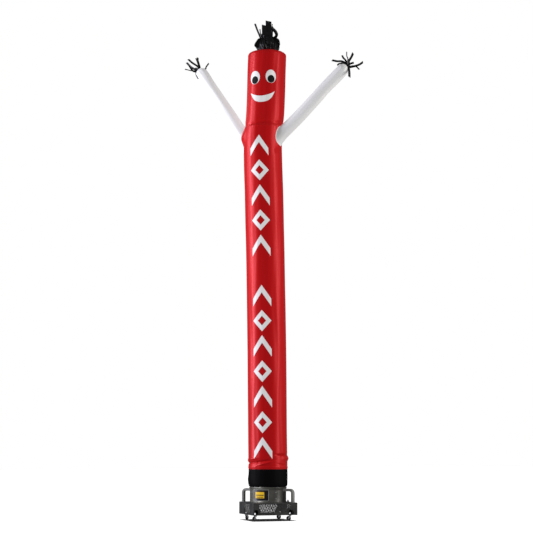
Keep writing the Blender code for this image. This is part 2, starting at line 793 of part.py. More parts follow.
def handle_rows():
    """Distance, height and turn of each section of a handle: up, round the bend and in to the drum."""
    middle = HANDLE_REACH - HANDLE_BEND
    rows = [(HANDLE_REACH, BASE_TOP + SEAM_GAP, 0.0)]
    bends = 6
    for i in range(bends + 1):
        turn = math.radians(90.0 * i / bends)
        rise = HANDLE_TOP - HANDLE_BEND * (1.0 - math.sin(turn))
        rows.append((middle + HANDLE_BEND * math.cos(turn), rise, turn))
    rows.append((DRUM_RADIUS * math.cos(math.pi / DRUM_STEPS) + SEAM_GAP, HANDLE_TOP, math.radians(90.0)))
    return rows


def make_handle(name, azimuth, finish, group):
    """A flat tube from a corner of the base to the drum."""
    rows = handle_rows()
    wide, thick, edge = 0.5 * HANDLE_WIDE, 0.5 * HANDLE_THICK, HANDLE_EDGE
    section = [(wide, thick - edge), (wide - edge, thick), (edge - wide, thick), (-wide, thick - edge)]
    section += [(-across, -away) for across, away in section]
    out, side = heading(azimuth), heading(azimuth + 90.0)

    def place(u, v):
        reach, rise, turn = rows[round(v * (len(rows) - 1))]
        across, away = section[round(u * len(section)) % len(section)]
        point = out * (reach + away * math.cos(turn)) + side * across
        return Vector((point.x, point.y, rise + away * math.sin(turn)))

    grid(name, place, len(section), len(rows) - 1, finish, group, caps=True)


def drum_sheet(name, turn, low, high, out, thick, finish, group, steps, shift=0.0):
    """A curved plate on the drum, centred on the label's azimuth."""

    def place(u, v):
        azimuth = LABEL_AZIMUTH + shift + turn * (u - 0.5)
        point = heading(azimuth) * (DRUM_RADIUS + out)
        return Vector((point.x, point.y, low + (high - low) * v))

    plate = grid(name, place, steps, 1, finish, group)
    thicken(plate, thick, 1.0)
    return plate


def make_label(frame_finish, plate_finish, patch_finish, group, cutters):
    border = 0.008
    turn = LABEL_TURN - 2.0 * math.degrees(border / DRUM_RADIUS)
    frame = drum_sheet("label_frame", LABEL_TURN, LABEL_FOOT, LABEL_TOP, 0.0006, 0.004, frame_finish, group, 10)
    low, high = LABEL_FOOT + border, LABEL_TOP - border
    opening = drum_sheet("label_opening", turn, low, high, -0.01, 0.03, None, cutters, 10)
    cut(frame, as_cutter(opening))
    inner = turn - 0.3
    drum_sheet("label_plate", inner, low + 0.0004, high - 0.0004, 0.0006, 0.0015, plate_finish, group, 10)
    patch = turn * 0.68
    low, high = LABEL_FOOT + 0.030, LABEL_TOP - 0.023
    drum_sheet("label_patch", patch, low, high, 0.0026, 0.0006, patch_finish, group, 10, PATCH_SHIFT)


def make_bolts(finish, group):
    flat = DRUM_RADIUS * math.cos(math.pi / DRUM_STEPS)
    for i in range(4):
        for j, height in enumerate(BOLT_HEIGHTS):
            out = heading(BOLT_TURN + 90.0 * i) * (flat + SEAM_GAP + 0.5 * BOLT_TALL)
            turn = out.to_track_quat("Z", "Y").to_matrix().to_4x4()
            at = Matrix.Translation((out.x, out.y, height)) @ turn
            cylinder(f"bolt_{i + 1}_{j + 1}", 0.0085, BOLT_TALL, 10, finish, group, at, top=0.0055)


def make_gland(finish, group):
    """The gland on the base beside the drum through which the mains lead enters."""
    profile = ((0.004, 0.024), (0.008, 0.024), (0.0095, 0.006), (0.014, 0.005), (0.014, 0.0), (0.004, 0.0))
    turned("cord_gland", profile, 12, finish, group, moved(*GLAND_PLACE, BASE_TOP + SEAM_GAP))


def caster_frame(x, y, turn):
    """The caster's own frame, at the floor under its swivel axis, trailing along local +X."""
    return moved(x, y, 0.0, turn)


def make_caster(name, x, y, turn, steel, rubber, group, cutters):
    at = caster_frame(x, y, turn)
    top = BASE_FOOT - SEAM_GAP
    plate_at = moved(x, y, top - 0.5 * PLATE_THICK)
    block(f"plate_{name}", (PLATE_SIDE, PLATE_SIDE, PLATE_THICK), steel, group, plate_at)
    crown_at = at @ Matrix.Translation((0.0, 0.0, FORK_TOP - 0.5 * FORK_CROWN))
    fork = cylinder(f"fork_{name}", 0.017, FORK_CROWN, 16, steel, group, crown_at)
    for side in (-1, 1):
        leg_tall = FORK_TOP - 0.001 - (AXLE_HEIGHT - 0.007)
        middle_y = side * 0.5 * (FORK_SPACE + FORK_LEG)
        leg = block(
            f"leg_{name}_{side}",
            (0.024, FORK_LEG, leg_tall),
            None,
            cutters,
            at @ Matrix.Translation((0.0, middle_y, FORK_TOP - 0.001 - 0.5 * leg_tall)),
            foot=0.55,
        )
        for vert in leg.data.vertices:
            if vert.co.z < 0.0:
                vert.co.x += WHEEL_TRAIL
        cut(fork, as_cutter(leg), "UNION")
    axle_at = at @ Matrix.Translation((WHEEL_TRAIL, 0.0, AXLE_HEIGHT))
    axle_at = axle_at @ Matrix.Rotation(math.radians(90.0), 4, "X")
    length = FORK_SPACE + 2 * FORK_LEG + 0.003
    axle = cylinder(f"axle_{name}", AXLE_RADIUS, length, 10, None, cutters, axle_at)
    cut(fork, as_cutter(axle), "UNION")
    half = 0.5 * WHEEL_WIDTH
    profile = (
        (BORE_RADIUS, half),
        (0.009, half),
        (0.011, half - 0.0015),
        (0.0220, half - 0.002),
        (WHEEL_RADIUS, half - 0.005),
        (WHEEL_RADIUS, -half + 0.005),
        (0.0220, -half + 0.002),
        (0.011, -half + 0.0015),
        (0.009, -half),
        (BORE_RADIUS, -half),
    )
    # half a step round, so that a flat of the tread lies on the floor
    flat_down = axle_at @ Matrix.Rotation(math.pi / WHEEL_STEPS, 4, "Z")
    turned(f"wheel_{name}", profile, WHEEL_STEPS, rubber, group, flat_down)


def main():
    for obj in list(bpy.data.objects):
        bpy.data.objects.remove(obj)
    parts = collection("air_dancer")
    cutters = collection("cutters")
    red = material("red_nylon", (0.55, 0.006, 0.006), 0.45)
    white = material("white_nylon", (0.82, 0.82, 0.83), 0.5)
    black = material("black_nylon", (0.010, 0.010, 0.012), 0.5)
    steel = material("hammered_steel", (0.13, 0.13, 0.125), 0.45, 0.8)
    grille = material("expanded_mesh", (0.30, 0.30, 0.30), 0.5, 0.8)
    tube = material("handle_tube", (0.30, 0.30, 0.29), 0.4, 0.9)
    zinc = material("zinc", (0.6, 0.6, 0.6), 0.3, 1.0)
    rubber = material("rubber", (0.012, 0.012, 0.012), 0.6)
    yellow = material("yellow_film", (0.85, 0.55, 0.02), 0.5)

    make_sleeve(black, parts)
    make_torso_and_arms(red, white, parts, cutters)
    tube_section("head", ring_heights(HEAD_RINGS), red, parts)
    make_cap(red, parts)
    make_face(white, black, parts)
    make_motifs(white, parts)
    make_streamers("streamers_right", RIGHT_ARM, RIGHT_STREAMERS, black, parts, cutters)
    make_streamers("streamers_left", LEFT_ARM, LEFT_STREAMERS, black, parts, cutters)
    make_hair(black, parts, cutters)

    make_drum(steel, parts)
    make_base(steel, grille, parts, cutters)
    for name, azimuth in HANDLES:
        make_handle(name, azimuth, tube, parts)
    make_label(tube, black, yellow, parts, cutters)
    make_bolts(zinc, parts)
    make_gland(rubber, parts)
    for name, x_side, y_side, turn in CASTERS:
        make_caster(name, x_side * CASTER_X, y_side * CASTER_Y, turn, zinc, rubber, parts, cutters)


main()
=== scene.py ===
import json
import math

import bpy
import numpy as np
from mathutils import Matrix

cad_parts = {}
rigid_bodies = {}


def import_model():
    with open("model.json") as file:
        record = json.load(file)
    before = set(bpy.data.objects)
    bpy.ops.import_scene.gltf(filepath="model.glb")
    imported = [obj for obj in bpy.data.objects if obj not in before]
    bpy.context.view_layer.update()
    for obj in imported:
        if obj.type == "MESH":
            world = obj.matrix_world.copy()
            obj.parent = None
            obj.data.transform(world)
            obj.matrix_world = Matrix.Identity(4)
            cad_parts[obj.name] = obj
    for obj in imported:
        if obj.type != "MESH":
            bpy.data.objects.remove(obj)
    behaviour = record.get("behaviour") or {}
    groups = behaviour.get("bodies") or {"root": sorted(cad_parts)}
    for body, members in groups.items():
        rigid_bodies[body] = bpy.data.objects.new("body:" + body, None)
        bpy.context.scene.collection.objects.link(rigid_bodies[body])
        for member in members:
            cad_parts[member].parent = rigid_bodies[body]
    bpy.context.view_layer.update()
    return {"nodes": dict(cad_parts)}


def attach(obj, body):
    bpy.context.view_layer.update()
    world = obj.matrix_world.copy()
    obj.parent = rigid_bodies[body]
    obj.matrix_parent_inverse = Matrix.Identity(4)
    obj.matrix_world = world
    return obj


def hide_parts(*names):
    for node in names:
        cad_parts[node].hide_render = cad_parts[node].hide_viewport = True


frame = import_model()

# The air dancer is drawn from here down: camera and light first, then cloth, then the blower.
rootBody = "dancer_and_blower"
fullTurn = 2.0 * math.pi
sides = ("right", "left")

# ---- camera, light and floor: the user settings of the studio
studio = {
    "cameraTurn": -18.6,  # degrees, the camera stands to the left of the blower's front
    "cameraDistance": 16.6,
    "cameraSide": -0.0178,
    "cameraHeight": 0.9,
    "cameraTilt": 97.15,
    "lens": 94.7,
    "sensor": 36.0,
    "ambient": 0.48,
    "gloss": 0.08,
    "backdrop": 1.0,
    "floorSun": 7.3,
    "floorSunWidth": 12.0,  # degrees
    "floorReach": 30.0,
    "floorGrey": 0.45,
    # degrees from the camera's side, distance, height, height aimed at, width, tall, watts, colour
    "lamps": {
        "leftStrip": (-86.0, 5.0, 3.2, 3.0, 1.8, 8.0, 440.0, (0.88, 0.88, 1.0)),
        "rightStrip": (70.0, 5.0, 3.4, 3.0, 1.0, 7.5, 190.0, (1.0, 0.98, 0.96)),
        "lowLamp": (-54.0, 4.0, 1.1, 0.3947, 0.9, 1.4, 230.0, (1.0, 1.0, 1.0)),
    },
}

cameraTurn = math.radians(studio["cameraTurn"])
screenRight = np.array([math.cos(cameraTurn), math.sin(cameraTurn), 0.0])
screenAway = np.array([-math.sin(cameraTurn), math.cos(cameraTurn), 0.0])
up3 = np.array([0.0, 0.0, 1.0])


def toScene(name, data):
    made = bpy.data.objects.new(name, data)
    bpy.context.scene.collection.objects.link(made)
    return made


def setInputs(tree, sockets, values):
    # each socket is linked or gets a constant
    for key, value in values.items():
        if isinstance(value, bpy.types.NodeSocket):
            tree.links.new(value, sockets[key])
        else:
            sockets[key].default_value = value


def addNode(tree, kind, values, **settings):
    node = tree.nodes.new("ShaderNode" + kind)
    for key, value in settings.items():
        setattr(node, key, value)
    setInputs(tree, node.inputs, values)
    return node.outputs


def lightGroup(name, shapes, state="INCLUDE"):
    # what a lamp lights or what shades it, or with EXCLUDE what is left out of that
    group = bpy.data.collections.new(name)
    for shape in shapes:
        group.objects.link(shape)
    for linked in group.collection_objects:
        linked.light_linking.link_state = state
    return group


def addCamera():
    data = bpy.data.cameras.new("camera")
    data.lens = studio["lens"]
    data.sensor_width = studio["sensor"]
    data.clip_end = 200.0
    camera = toScene("camera", data)
    place = screenRight * studio["cameraSide"] - screenAway * studio["cameraDistance"]
    camera.location = (place[0], place[1], studio["cameraHeight"])
    camera.rotation_euler = (math.radians(studio["cameraTilt"]), 0.0, cameraTurn)
    bpy.context.scene.camera = camera


def addLamp(name, lit):
    turn, distance, height, aimHeight, width, tall, watts, colour = studio["lamps"][name]
    data = bpy.data.lights.new(name, "AREA")
    data.shape = "RECTANGLE"
    data.size = width
    data.size_y = tall
    data.energy = watts
    data.color = colour
    lamp = toScene(name, data)
    angle = math.radians(turn)
    spot = (screenRight * math.sin(angle) - screenAway * math.cos(angle)) * distance
    lamp.location = (spot[0], spot[1], height)
    lamp.rotation_euler = (math.atan2(distance, height - aimHeight), 0.0, math.atan2(spot[0], -spot[1]))
    lamp.visible_camera = False
    lamp.light_linking.receiver_collection = lit
    return lamp


def addFloor():
    # the floor has its own overhead sun, so it stays pale while the cloth is lit from the sides
    r = studio["floorReach"]
    mesh = bpy.data.meshes.new("floor")
    mesh.from_pydata([(-r, -r, 0), (r, -r, 0), (r, r, 0), (-r, r, 0)], [], [(0, 1, 2, 3)])
    floor = toScene("floor", mesh)
    floor.visible_diffuse = False
    floor.visible_glossy = False
    data = bpy.data.lights.new("floorSun", "SUN")
    data.energy = studio["floorSun"]
    data.angle = math.radians(studio["floorSunWidth"])
    sun = toScene("floorSun", data)
    sun.light_linking.receiver_collection = lightGroup("litFromAbove", [floor])
    return floor, sun


def addWorld():
    # the camera sees the backdrop, gloss mirrors a darker room, and the rest is lit by the ambient light
    world = bpy.data.worlds.new("studio")
    bpy.context.scene.world = world
    world.use_nodes = True
    tree = world.node_tree
    tree.nodes.clear()
    path = addNode(tree, "LightPath", {})
    lights = {}
    for key in ("ambient", "gloss", "backdrop"):
        values = {"Color": (1.0, 1.0, 1.0, 1.0), "Strength": studio[key]}
        lights[key] = addNode(tree, "Background", values)["Background"]
    shown = lights["ambient"]
    for key, ray in (("gloss", "Is Glossy Ray"), ("backdrop", "Is Camera Ray")):
        shown = addNode(tree, "MixShader", {"Fac": path[ray], 1: shown, 2: lights[key]})["Shader"]
    addNode(tree, "OutputWorld", {"Surface": shown})


addCamera()
addWorld()
floorPiece, floorSun = addFloor()
notFloor = lightGroup("litFromTheSides", [floorPiece], "EXCLUDE")
addLamp("leftStrip", notFloor)
rightStrip = addLamp("rightStrip", notFloor)
bpy.context.scene.view_settings.view_transform = "Standard"
print("camera, lamps and world are in place")


# ---- shader node groups shared by the materials
def nodeGroup(name, inputs, outputs):
    group = bpy.data.node_groups.new(name, "ShaderNodeTree")
    for label, value in inputs.items():
        kind = "NodeSocketVector" if value is None else "NodeSocketFloat"
        socket = group.interface.new_socket(name=label, in_out="INPUT", socket_type=kind)
        if value is not None:
            socket.default_value = value
    for label in outputs:
        group.interface.new_socket(name=label, in_out="OUTPUT", socket_type="NodeSocketFloat")
    return group, group.nodes.new("NodeGroupInput").outputs, group.nodes.new("NodeGroupOutput").inputs


def addMath(tree, how, *values):
    return addNode(tree, "Math", dict(enumerate(values)), operation=how)["Value"]


def addNoise(tree, vector, scale, detail, roughness, stretch=None):
    if stretch:
        vector = addNode(tree, "Mapping", {"Vector": vector, "Scale": stretch})["Vector"]
    values = {"Vector": vector, "Scale": scale, "Detail": detail, "Roughness": roughness}
    return addNode(tree, "TexNoise", values)["Fac"]


def makeRipstop():
    # height = two crossing sine weaves + a raised thread wherever u or v is near a multiple of the pitch
    inputs = {"Uv": None, "Thread": 0.0011, "Pitch": 0.0055}
    tree, enter, leave = nodeGroup("ripstopWeave", inputs, ("Height", "Rib"))
    split = addNode(tree, "SeparateXYZ", {"Vector": enter["Uv"]})
    waves = []
    ribs = []
    for axis in ("X", "Y"):
        turn = addMath(tree, "DIVIDE", split[axis], enter["Thread"])
        waves.append(addMath(tree, "SINE", addMath(tree, "MULTIPLY", turn, fullTurn)))
        cell = addMath(tree, "DIVIDE", split[axis], enter["Pitch"])
        ribs.append(addMath(tree, "LESS_THAN", addMath(tree, "PINGPONG", cell, 0.5), 0.09))
    rib = addMath(tree, "MAXIMUM", *ribs)
    height = addMath(tree, "MULTIPLY_ADD", addMath(tree, "MULTIPLY", *waves), 0.35, rib)
    setInputs(tree, leave, {"Height": height, "Rib": rib})
    return tree


def makeCrumple():
    # height = a broad noise stretched along the cloth + a finer one, both centred on zero
    tree, enter, leave = nodeGroup("softCrumple", {"Uv": None, "Amount": 1.0}, ["Height"])
    broad = addNoise(tree, enter["Uv"], 7.0, 3.0, 0.45, (1.6, 0.35, 1.0))
    fine = addNoise(tree, enter["Uv"], 34.0, 4.0, 0.55, (1.0, 0.7, 1.0))
    total = addMath(tree, "SUBTRACT", addMath(tree, "MULTIPLY_ADD", fine, 0.22, broad), 0.61)
    setInputs(tree, leave, {"Height": addMath(tree, "MULTIPLY", total, enter["Amount"])})
    return tree


def makeHammered():
    # height = one minus the distance to the nearest cell's middle: round dimples of hammered paint
    tree, enter, leave = nodeGroup("hammeredPaint", {"Place": None, "Scale": 260.0}, ("Height", "Fleck"))
    values = {"Vector": enter["Place"], "Scale": enter["Scale"]}
    cells = addNode(tree, "TexVoronoi", values, feature="SMOOTH_F1")
    fleck = addNoise(tree, enter["Place"], 60.0, 4.0, 0.6)
    setInputs(tree, leave, {"Height": addMath(tree, "SUBTRACT", 1.0, cells["Distance"]), "Fleck": fleck})
    return tree


def makeWear():
    # mask = noise above a threshold, sharpened, from 0 to 1
    tree, enter, leave = nodeGroup("patchyWear", {"Place": None, "Scale": 9.0, "Amount": 0.3}, ["Mask"])
    noise = addNoise(tree, enter["Place"], enter["Scale"], 6.0, 0.5)
    mask = addMath(tree, "MULTIPLY", addMath(tree, "SUBTRACT", noise, 0.45), 5.0)
    mask = addMath(tree, "MINIMUM", addMath(tree, "MAXIMUM", mask, 0.0), 1.0)
    setInputs(tree, leave, {"Mask": addMath(tree, "MULTIPLY", mask, enter["Amount"])})
    return tree


groups = {
    "ripstop": makeRipstop(),
    "crumple": makeCrumple(),
    "hammered": makeHammered(),
    "wear": makeWear(),
}


def addGroup(tree, key, vector, **values):
    return addNode(tree, "Group", {0: vector, **values}, node_tree=groups[key])


def startMaterial(name):
    made = bpy.data.materials.new(name)
    made.use_nodes = True
    tree = made.node_tree
    return made, tree, tree.nodes["Principled BSDF"].inputs, addNode(tree, "TexCoord", {})


def addBump(tree, height, strength, distance, **normal):
    values = {"Strength": strength, "Distance": distance, "Height": height, **normal}
    return addNode(tree, "Bump", values)["Normal"]


def mixColours(tree, mask, first, second):
    # the first colour may be a link
    first = first if isinstance(first, bpy.types.NodeSocket) else (*first, 1.0)
    return addNode(tree, "Mix", {0: mask, 6: first, 7: (*second, 1.0)}, data_type="RGBA")[2]


def clothMaterial(name, colour, dusty, roughness, crumple, specular, tint=(1, 1, 1), bounce=None):
    # colour = clean and dusty mixed by wear; normal = crumple, then weave; the ribs are rougher.
    # the light that the cloth throws on its neighbours may have a colour of its own
    made, tree, shader, coords = startMaterial(name)
    weave = addGroup(tree, "ripstop", coords["UV"])
    soft = addGroup(tree, "crumple", coords["UV"], Amount=crumple)
    wear = addGroup(tree, "wear", coords["Object"], Scale=3.0, Amount=0.35)
    base = mixColours(tree, wear["Mask"], colour, dusty)
    if bounce:
        base = mixColours(tree, addNode(tree, "LightPath", {})["Is Diffuse Ray"], base, bounce)
    normal = addBump(tree, soft["Height"], 0.4, 0.0016)
    setInputs(tree, shader, {
        "Base Color": base,
        "Normal": addBump(tree, weave["Height"], 0.25, 0.00012, Normal=normal),
        "Roughness": addMath(tree, "MULTIPLY_ADD", weave["Rib"], 0.08, roughness),
        "Specular Tint": (*tint, 1.0),
        "Specular IOR Level": specular,
    })
    return made


def metalMaterial(name, colour, worn, roughness, metallic, bumpDepth=0.0, cells=260.0):
    # colour = paint and worn paint mixed by wear; roughness varies with the flecks
    made, tree, shader, coords = startMaterial(name)
    paint = addGroup(tree, "hammered", coords["Object"], Scale=cells)
    wear = addGroup(tree, "wear", coords["Object"], Scale=14.0, Amount=0.5)
    setInputs(tree, shader, {
        "Base Color": mixColours(tree, wear["Mask"], colour, worn),
        "Roughness": addMath(tree, "MULTIPLY_ADD", paint["Fleck"], 0.22, roughness - 0.11),
        "Metallic": metallic,
    })
    if bumpDepth:
        setInputs(tree, shader, {"Normal": addBump(tree, paint["Height"], 0.6, bumpDepth)})
    return made


def grey(value):
    return value, value, value


satin, redBounce = (1.0, 0.12, 0.14), (0.50, 0.40, 0.40)
redCloth = clothMaterial(
    "redNylon", (0.50, 0.0030, 0.0040), (0.47, 0.0042, 0.0050), 0.34, 1.0, 1.0, satin, redBounce
)
redThread = clothMaterial(
    "redThread", (0.42, 0.007, 0.008), (0.38, 0.007, 0.007), 0.55, 0.0, 0.3
)
whiteCloth = clothMaterial("whiteNylon", grey(0.86), grey(0.83), 0.42, 0.8, 0.3)
# both arms are the same white nylon: the right arm's copy is darker as painted shade, the left arm's copy a
# little paler as painted light
armClothLitAndShaded = {
    "right": clothMaterial("rightArmNylon", grey(0.745), grey(0.72), 0.42, 0.6, 0.25),
    "left": clothMaterial("leftArmNylon", grey(0.89), grey(0.86), 0.42, 0.6, 0.25),
}
whiteThread = clothMaterial("whiteThread", grey(0.74), (0.66, 0.66, 0.65), 0.6, 0.0, 0.2)
pupilCloth = clothMaterial(
    "pupilNylon", (0.007, 0.007, 0.008), (0.010, 0.010, 0.011), 0.55, 0.8, 0.15
)
blackCloth = clothMaterial(
    "blackNylon", (0.0034, 0.0034, 0.0038), (0.0045, 0.0045, 0.0052), 0.5, 1.2, 0.03
)
blackStrip = clothMaterial(
    "blackStrip", (0.006, 0.006, 0.007), (0.010, 0.010, 0.012), 0.36, 1.5, 0.4
)
drumPaint = metalMaterial(
    "hammeredDrum", (0.058, 0.057, 0.051), (0.090, 0.087, 0.079), 0.38, 0.45, 0.0009, 150.0
)
basePaint = metalMaterial(
    "hammeredBase", (0.040, 0.041, 0.040), (0.085, 0.085, 0.082), 0.42, 0.35, 0.0009, 150.0
)
tubePaint = metalMaterial(
    "handleTube", (0.235, 0.235, 0.22), (0.30, 0.30, 0.285), 0.5, 0.15, 0.0004
)
zincMetal = metalMaterial("zinc", (0.52, 0.52, 0.55), (0.42, 0.42, 0.43), 0.35, 0.25)
# the cap nuts are zinc, painted paler than the forks' zinc as a painted highlight for the glint on them
capMetalPaintedGlint = metalMaterial("brightCap", (0.62, 0.62, 0.64), (0.54, 0.54, 0.55), 0.25, 0.1)
boltMetal = metalMaterial("dullBolt", grey(0.20), grey(0.26), 0.45, 0.25)
meshMetal = metalMaterial("meshMetal", (0.075, 0.075, 0.074), (0.11, 0.11, 0.108), 0.42, 0.4)
rubberBlack = metalMaterial(
    "wheelRubber", grey(0.012), (0.030, 0.029, 0.028), 0.55, 0.0, 0.0002, 700.0
)
platePaint = metalMaterial("darkPlate", (0.010, 0.010, 0.016), (0.018, 0.018, 0.024), 0.35, 0.0)
filmYellow = metalMaterial("yellowFilm", (0.95, 0.58, 0.002), (0.85, 0.50, 0.002), 0.45, 0.0)
sewn = {"red": [redCloth, redThread], "white": [whiteCloth, whiteThread], "black": [blackCloth, blackStrip]}
sewn["pupil"] = [pupilCloth, blackStrip]
print("materials are made")


# ---- numpy tools for surfaces
def gridFaces(rows, cols, closed):
    # four-sided faces between the points of a grid; a closed grid's last column meets its first
    i = np.arange(rows - 1)[:, None] * cols
    j = np.arange(cols if closed else cols - 1)[None, :]
    k = (j + 1) % cols
    return np.stack([i + j, i + k, i + cols + k, i + cols + j], -1).reshape(-1, 4)


def gridCorners(u, v):
    # u and v hold one column more than a closed grid has points, so the weave meets itself at the seam
    uv = np.stack(np.broadcast_arrays(u, v), -1)
    corners = [uv[:-1, :-1], uv[:-1, 1:], uv[1:, 1:], uv[1:, :-1]]
    return np.stack(corners, 2).reshape(-1, 4, 2)


def unit(vectors):
    return vectors / np.maximum(np.linalg.norm(vectors, axis=-1, keepdims=True), 1e-12)


def gridNormals(points, closed):
    if closed:
        across = np.roll(points, -1, 1) - np.roll(points, 1, 1)
    else:
        across = np.gradient(points, axis=1)
    return unit(np.cross(across, np.gradient(points, axis=0)))


def thickSheet(points, faces, corners, normals, thickness, mark=0):
    # a second layer under the first, and a rim along every open edge
    points = points.reshape(-1, 3)
    normals = normals.reshape(-1, 3)
    count = len(points)
    edges = np.stack([faces, np.roll(faces, -1, 1)], -1).reshape(-1, 2)
    ends = np.stack([corners, np.roll(corners, -1, 1)], 2).reshape(-1, 2, 2)
    bare = ~np.isin(edges[:, 0] * count + edges[:, 1], edges[:, 1] * count + edges[:, 0])
    rim = np.concatenate([edges[bare][:, ::-1], edges[bare] + count], 1)
    rimCorners = np.concatenate([ends[bare][:, ::-1], ends[bare]], 1)
    return {
        "points": np.concatenate([points, points - normals * thickness]),
        "faces": np.concatenate([faces, faces[:, ::-1] + count, rim]),
        "corners": np.concatenate([corners, corners[:, ::-1], rimCorners]),
        "mark": mark,
    }


def outwardSheet(points, faces, corners, normals, outward, thickness):
    # turns runs that go the other way round, so that the faces point outwards
    if (normals * outward).sum() < 0.0:
        faces, corners, normals = faces[:, ::-1], corners[:, ::-1], -normals
    return thickSheet(points, faces, corners, normals, thickness)


def surfacePart(points, closed, u, v, mark=0):
    faces = gridFaces(*points.shape[:2], closed)
    return {"points": points.reshape(-1, 3), "faces": faces, "corners": gridCorners(u, v), "mark": mark}


def ringPart(points, u, v, mark=0):
    # a grid whose last row is its first: closed both ways
    part = surfacePart(points, True, u, v, mark)
    part["points"] = points[:-1].reshape(-1, 3)
    part["faces"] = part["faces"] % len(part["points"])
    return part


def prismParts(points, corner, mark=0):
    # many four-sided prisms of the same number of stations: piece, station, corner, xyz
    count, stations = points.shape[:2]
    size = 4 * stations
    ends = [[3, 2, 1, 0], [size - 4, size - 3, size - 2, size - 1]]
    one = np.concatenate([gridFaces(stations, 4, True), ends])
    faces = (one[None] + size * np.arange(count)[:, None, None]).reshape(-1, 4)
    points = points.reshape(-1, 3)
    return {"points": points, "faces": faces, "corners": corner(points[faces], len(one)), "mark": mark}


def buildPiece(name, parts, materials, replaced=(), body=rootBody):
    # joins the parts into one mesh, with the materials in the order given
    starts = np.cumsum([0] + [len(part["points"]) for part in parts])
    points = np.concatenate([part["points"] for part in parts])
    faces = np.concatenate([part["faces"] + start for part, start in zip(parts, starts)]).astype(np.int32)
    corners = np.concatenate([part["corners"] for part in parts])
    marks = np.concatenate([np.full(len(part["faces"]), part["mark"]) for part in parts])
    mesh = bpy.data.meshes.new(name)
    mesh.vertices.add(len(points))
    mesh.vertices.foreach_set("co", points.astype(np.float32).ravel())
    mesh.loops.add(faces.size)
    mesh.loops.foreach_set("vertex_index", faces.ravel())
    mesh.polygons.add(len(faces))
    mesh.polygons.foreach_set("loop_start", np.arange(0, faces.size, 4, dtype=np.int32))
    for material in materials:
        mesh.materials.append(material)
    mesh.polygons.foreach_set("material_index", marks.astype(np.int32))
    layer = mesh.uv_layers.new(name="cut")
    layer.uv.foreach_set("vector", corners.astype(np.float32).ravel())
    mesh.update(calc_edges=True)
    mesh.validate()
    mesh.shade_smooth()
    mesh.set_sharp_from_angle(angle=math.radians(42))
    made = toScene(name, mesh)
    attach(made, body)
    if replaced:
        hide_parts(*replaced)
    return made


def through(rows, share):
    # a smooth curve through the rows of a table, read at shares from 0 to 1 of its length in rows
    rows = np.asarray(rows, float)
    last = len(rows) - 1
    place = np.clip(share, 0.0, 1.0) * last
    i = np.minimum(place.astype(int), last - 1)
    t = (place - i)[..., None]
    a, b, c, d = (rows[np.clip(i + k, 0, last)] for k in (-1, 0, 1, 2))
    bend = 2.0 * a - 5.0 * b + 4.0 * c - d
    return 0.5 * (2.0 * b + (c - a) * t + bend * t**2 + (3.0 * b - a - 3.0 * c + d) * t**3)


def heading(azimuth):
    # the level direction at an azimuth: nought is the blower's front
    turn = np.radians(azimuth)
    return np.stack([np.sin(turn), -np.cos(turn), np.zeros_like(turn)], -1)


def bump(x):
    return np.where(np.abs(x) < 1.0, (1.0 - np.clip(x, -1, 1) ** 2) ** 2, 0.0)


def within(angle):
    # degrees brought between -180 and 180
    return (angle + 180.0) % 360.0 - 180.0


def runAlong(path):
    # the distance along a path at each of its points
    return np.concatenate([[0.0], np.cumsum(np.linalg.norm(np.diff(path, axis=0), axis=-1))])


def circle(count):
    # turns evenly spaced round a circle
    return np.linspace(0.0, fullTurn, count, endpoint=False)


def girth(cols, radius):
    # distances round a circle, with one more than it has points
    return np.linspace(0.0, fullTurn * radius, cols + 1)


# ---- the swaying tube: user settings
tube = {
    "footRadius": 0.2275,
    "topRadius": 0.2312,
    "sleeveFoot": 0.3868,
    "neck": 4.66,
    "shoulder": 4.54,
    "headTop": 5.545,
    "capFlat": 5.600,
    "sheet": 0.002,
    "around": 144,
    "seamAzimuth": 150.0,  # the length seam, at the back
    "swayAzimuth": 71.4,
    # height, offset of the middle line
    "sway": [
        (0.38, 0.000), (0.90, -0.005), (1.70, -0.012), (2.50, -0.021), (3.30, -0.034), (3.90, -0.047),
        (4.30, -0.060), (4.50, -0.063), (4.66, -0.051), (4.85, -0.035), (5.10, -0.025), (5.35, -0.019),
        (5.60, -0.011),
    ],
    # height, azimuth, half turn, half height, depth, rise per degree
    "folds": [
        (0.676, -54.0, 64.0, 0.015, -0.019, 0.00048), (0.706, -84.0, 58.0, 0.026, 0.010, 0.00048),
        (0.655, -30.0, 42.0, 0.014, 0.009, 0.00100), (0.757, 36.0, 44.0, 0.014, -0.020, 0.0),
        (0.715, 64.0, 46.0, 0.040, 0.014, 0.0), (0.660, -118.0, 30.0, 0.018, -0.012, 0.0),
        (0.640, 40.0, 40.0, 0.014, -0.007, -0.0004), (0.612, 0.0, 360.0, 0.012, 0.004, 0.0),
        (0.700, 160.0, 50.0, 0.024, -0.013, 0.00040), (0.735, 168.0, 60.0, 0.022, 0.008, 0.00040),
        (4.690, -24.0, 62.0, 0.028, -0.017, 0.00010), (4.654, -22.0, 58.0, 0.012, 0.007, 0.0),
        (4.715, 46.0, 40.0, 0.034, -0.013, 0.00090), (4.555, -118.0, 46.0, 0.135, 0.036, 0.0),
        (4.690, -140.0, 50.0, 0.045, -0.016, 0.0), (4.520, 44.0, 30.0, 0.150, 0.010, 0.0),
        (4.370, 36.0, 26.0, 0.050, -0.008, 0.0010), (4.690, 150.0, 60.0, 0.034, -0.018, 0.00020),
    ],
    # waves round the tube, depth, phase, waves per metre of height
    "ripples": [
        (5, 0.0012, 0.4, 0.21), (9, 0.0010, 2.1, 0.37), (14, 0.0007, 4.0, 0.55), (23, 0.0004, 1.3, 0.80),
    ],
    # height of a sewn seam, waves round, depth, reach up and down
    "puckers": [
        (0.591, 52, 0.0012, 0.020), (4.660, 44, 0.0016, 0.030), (5.545, 60, 0.0010, 0.024),
    ],
}
tubeTurns = np.arange(tube["around"]) * 360.0 / tube["around"]


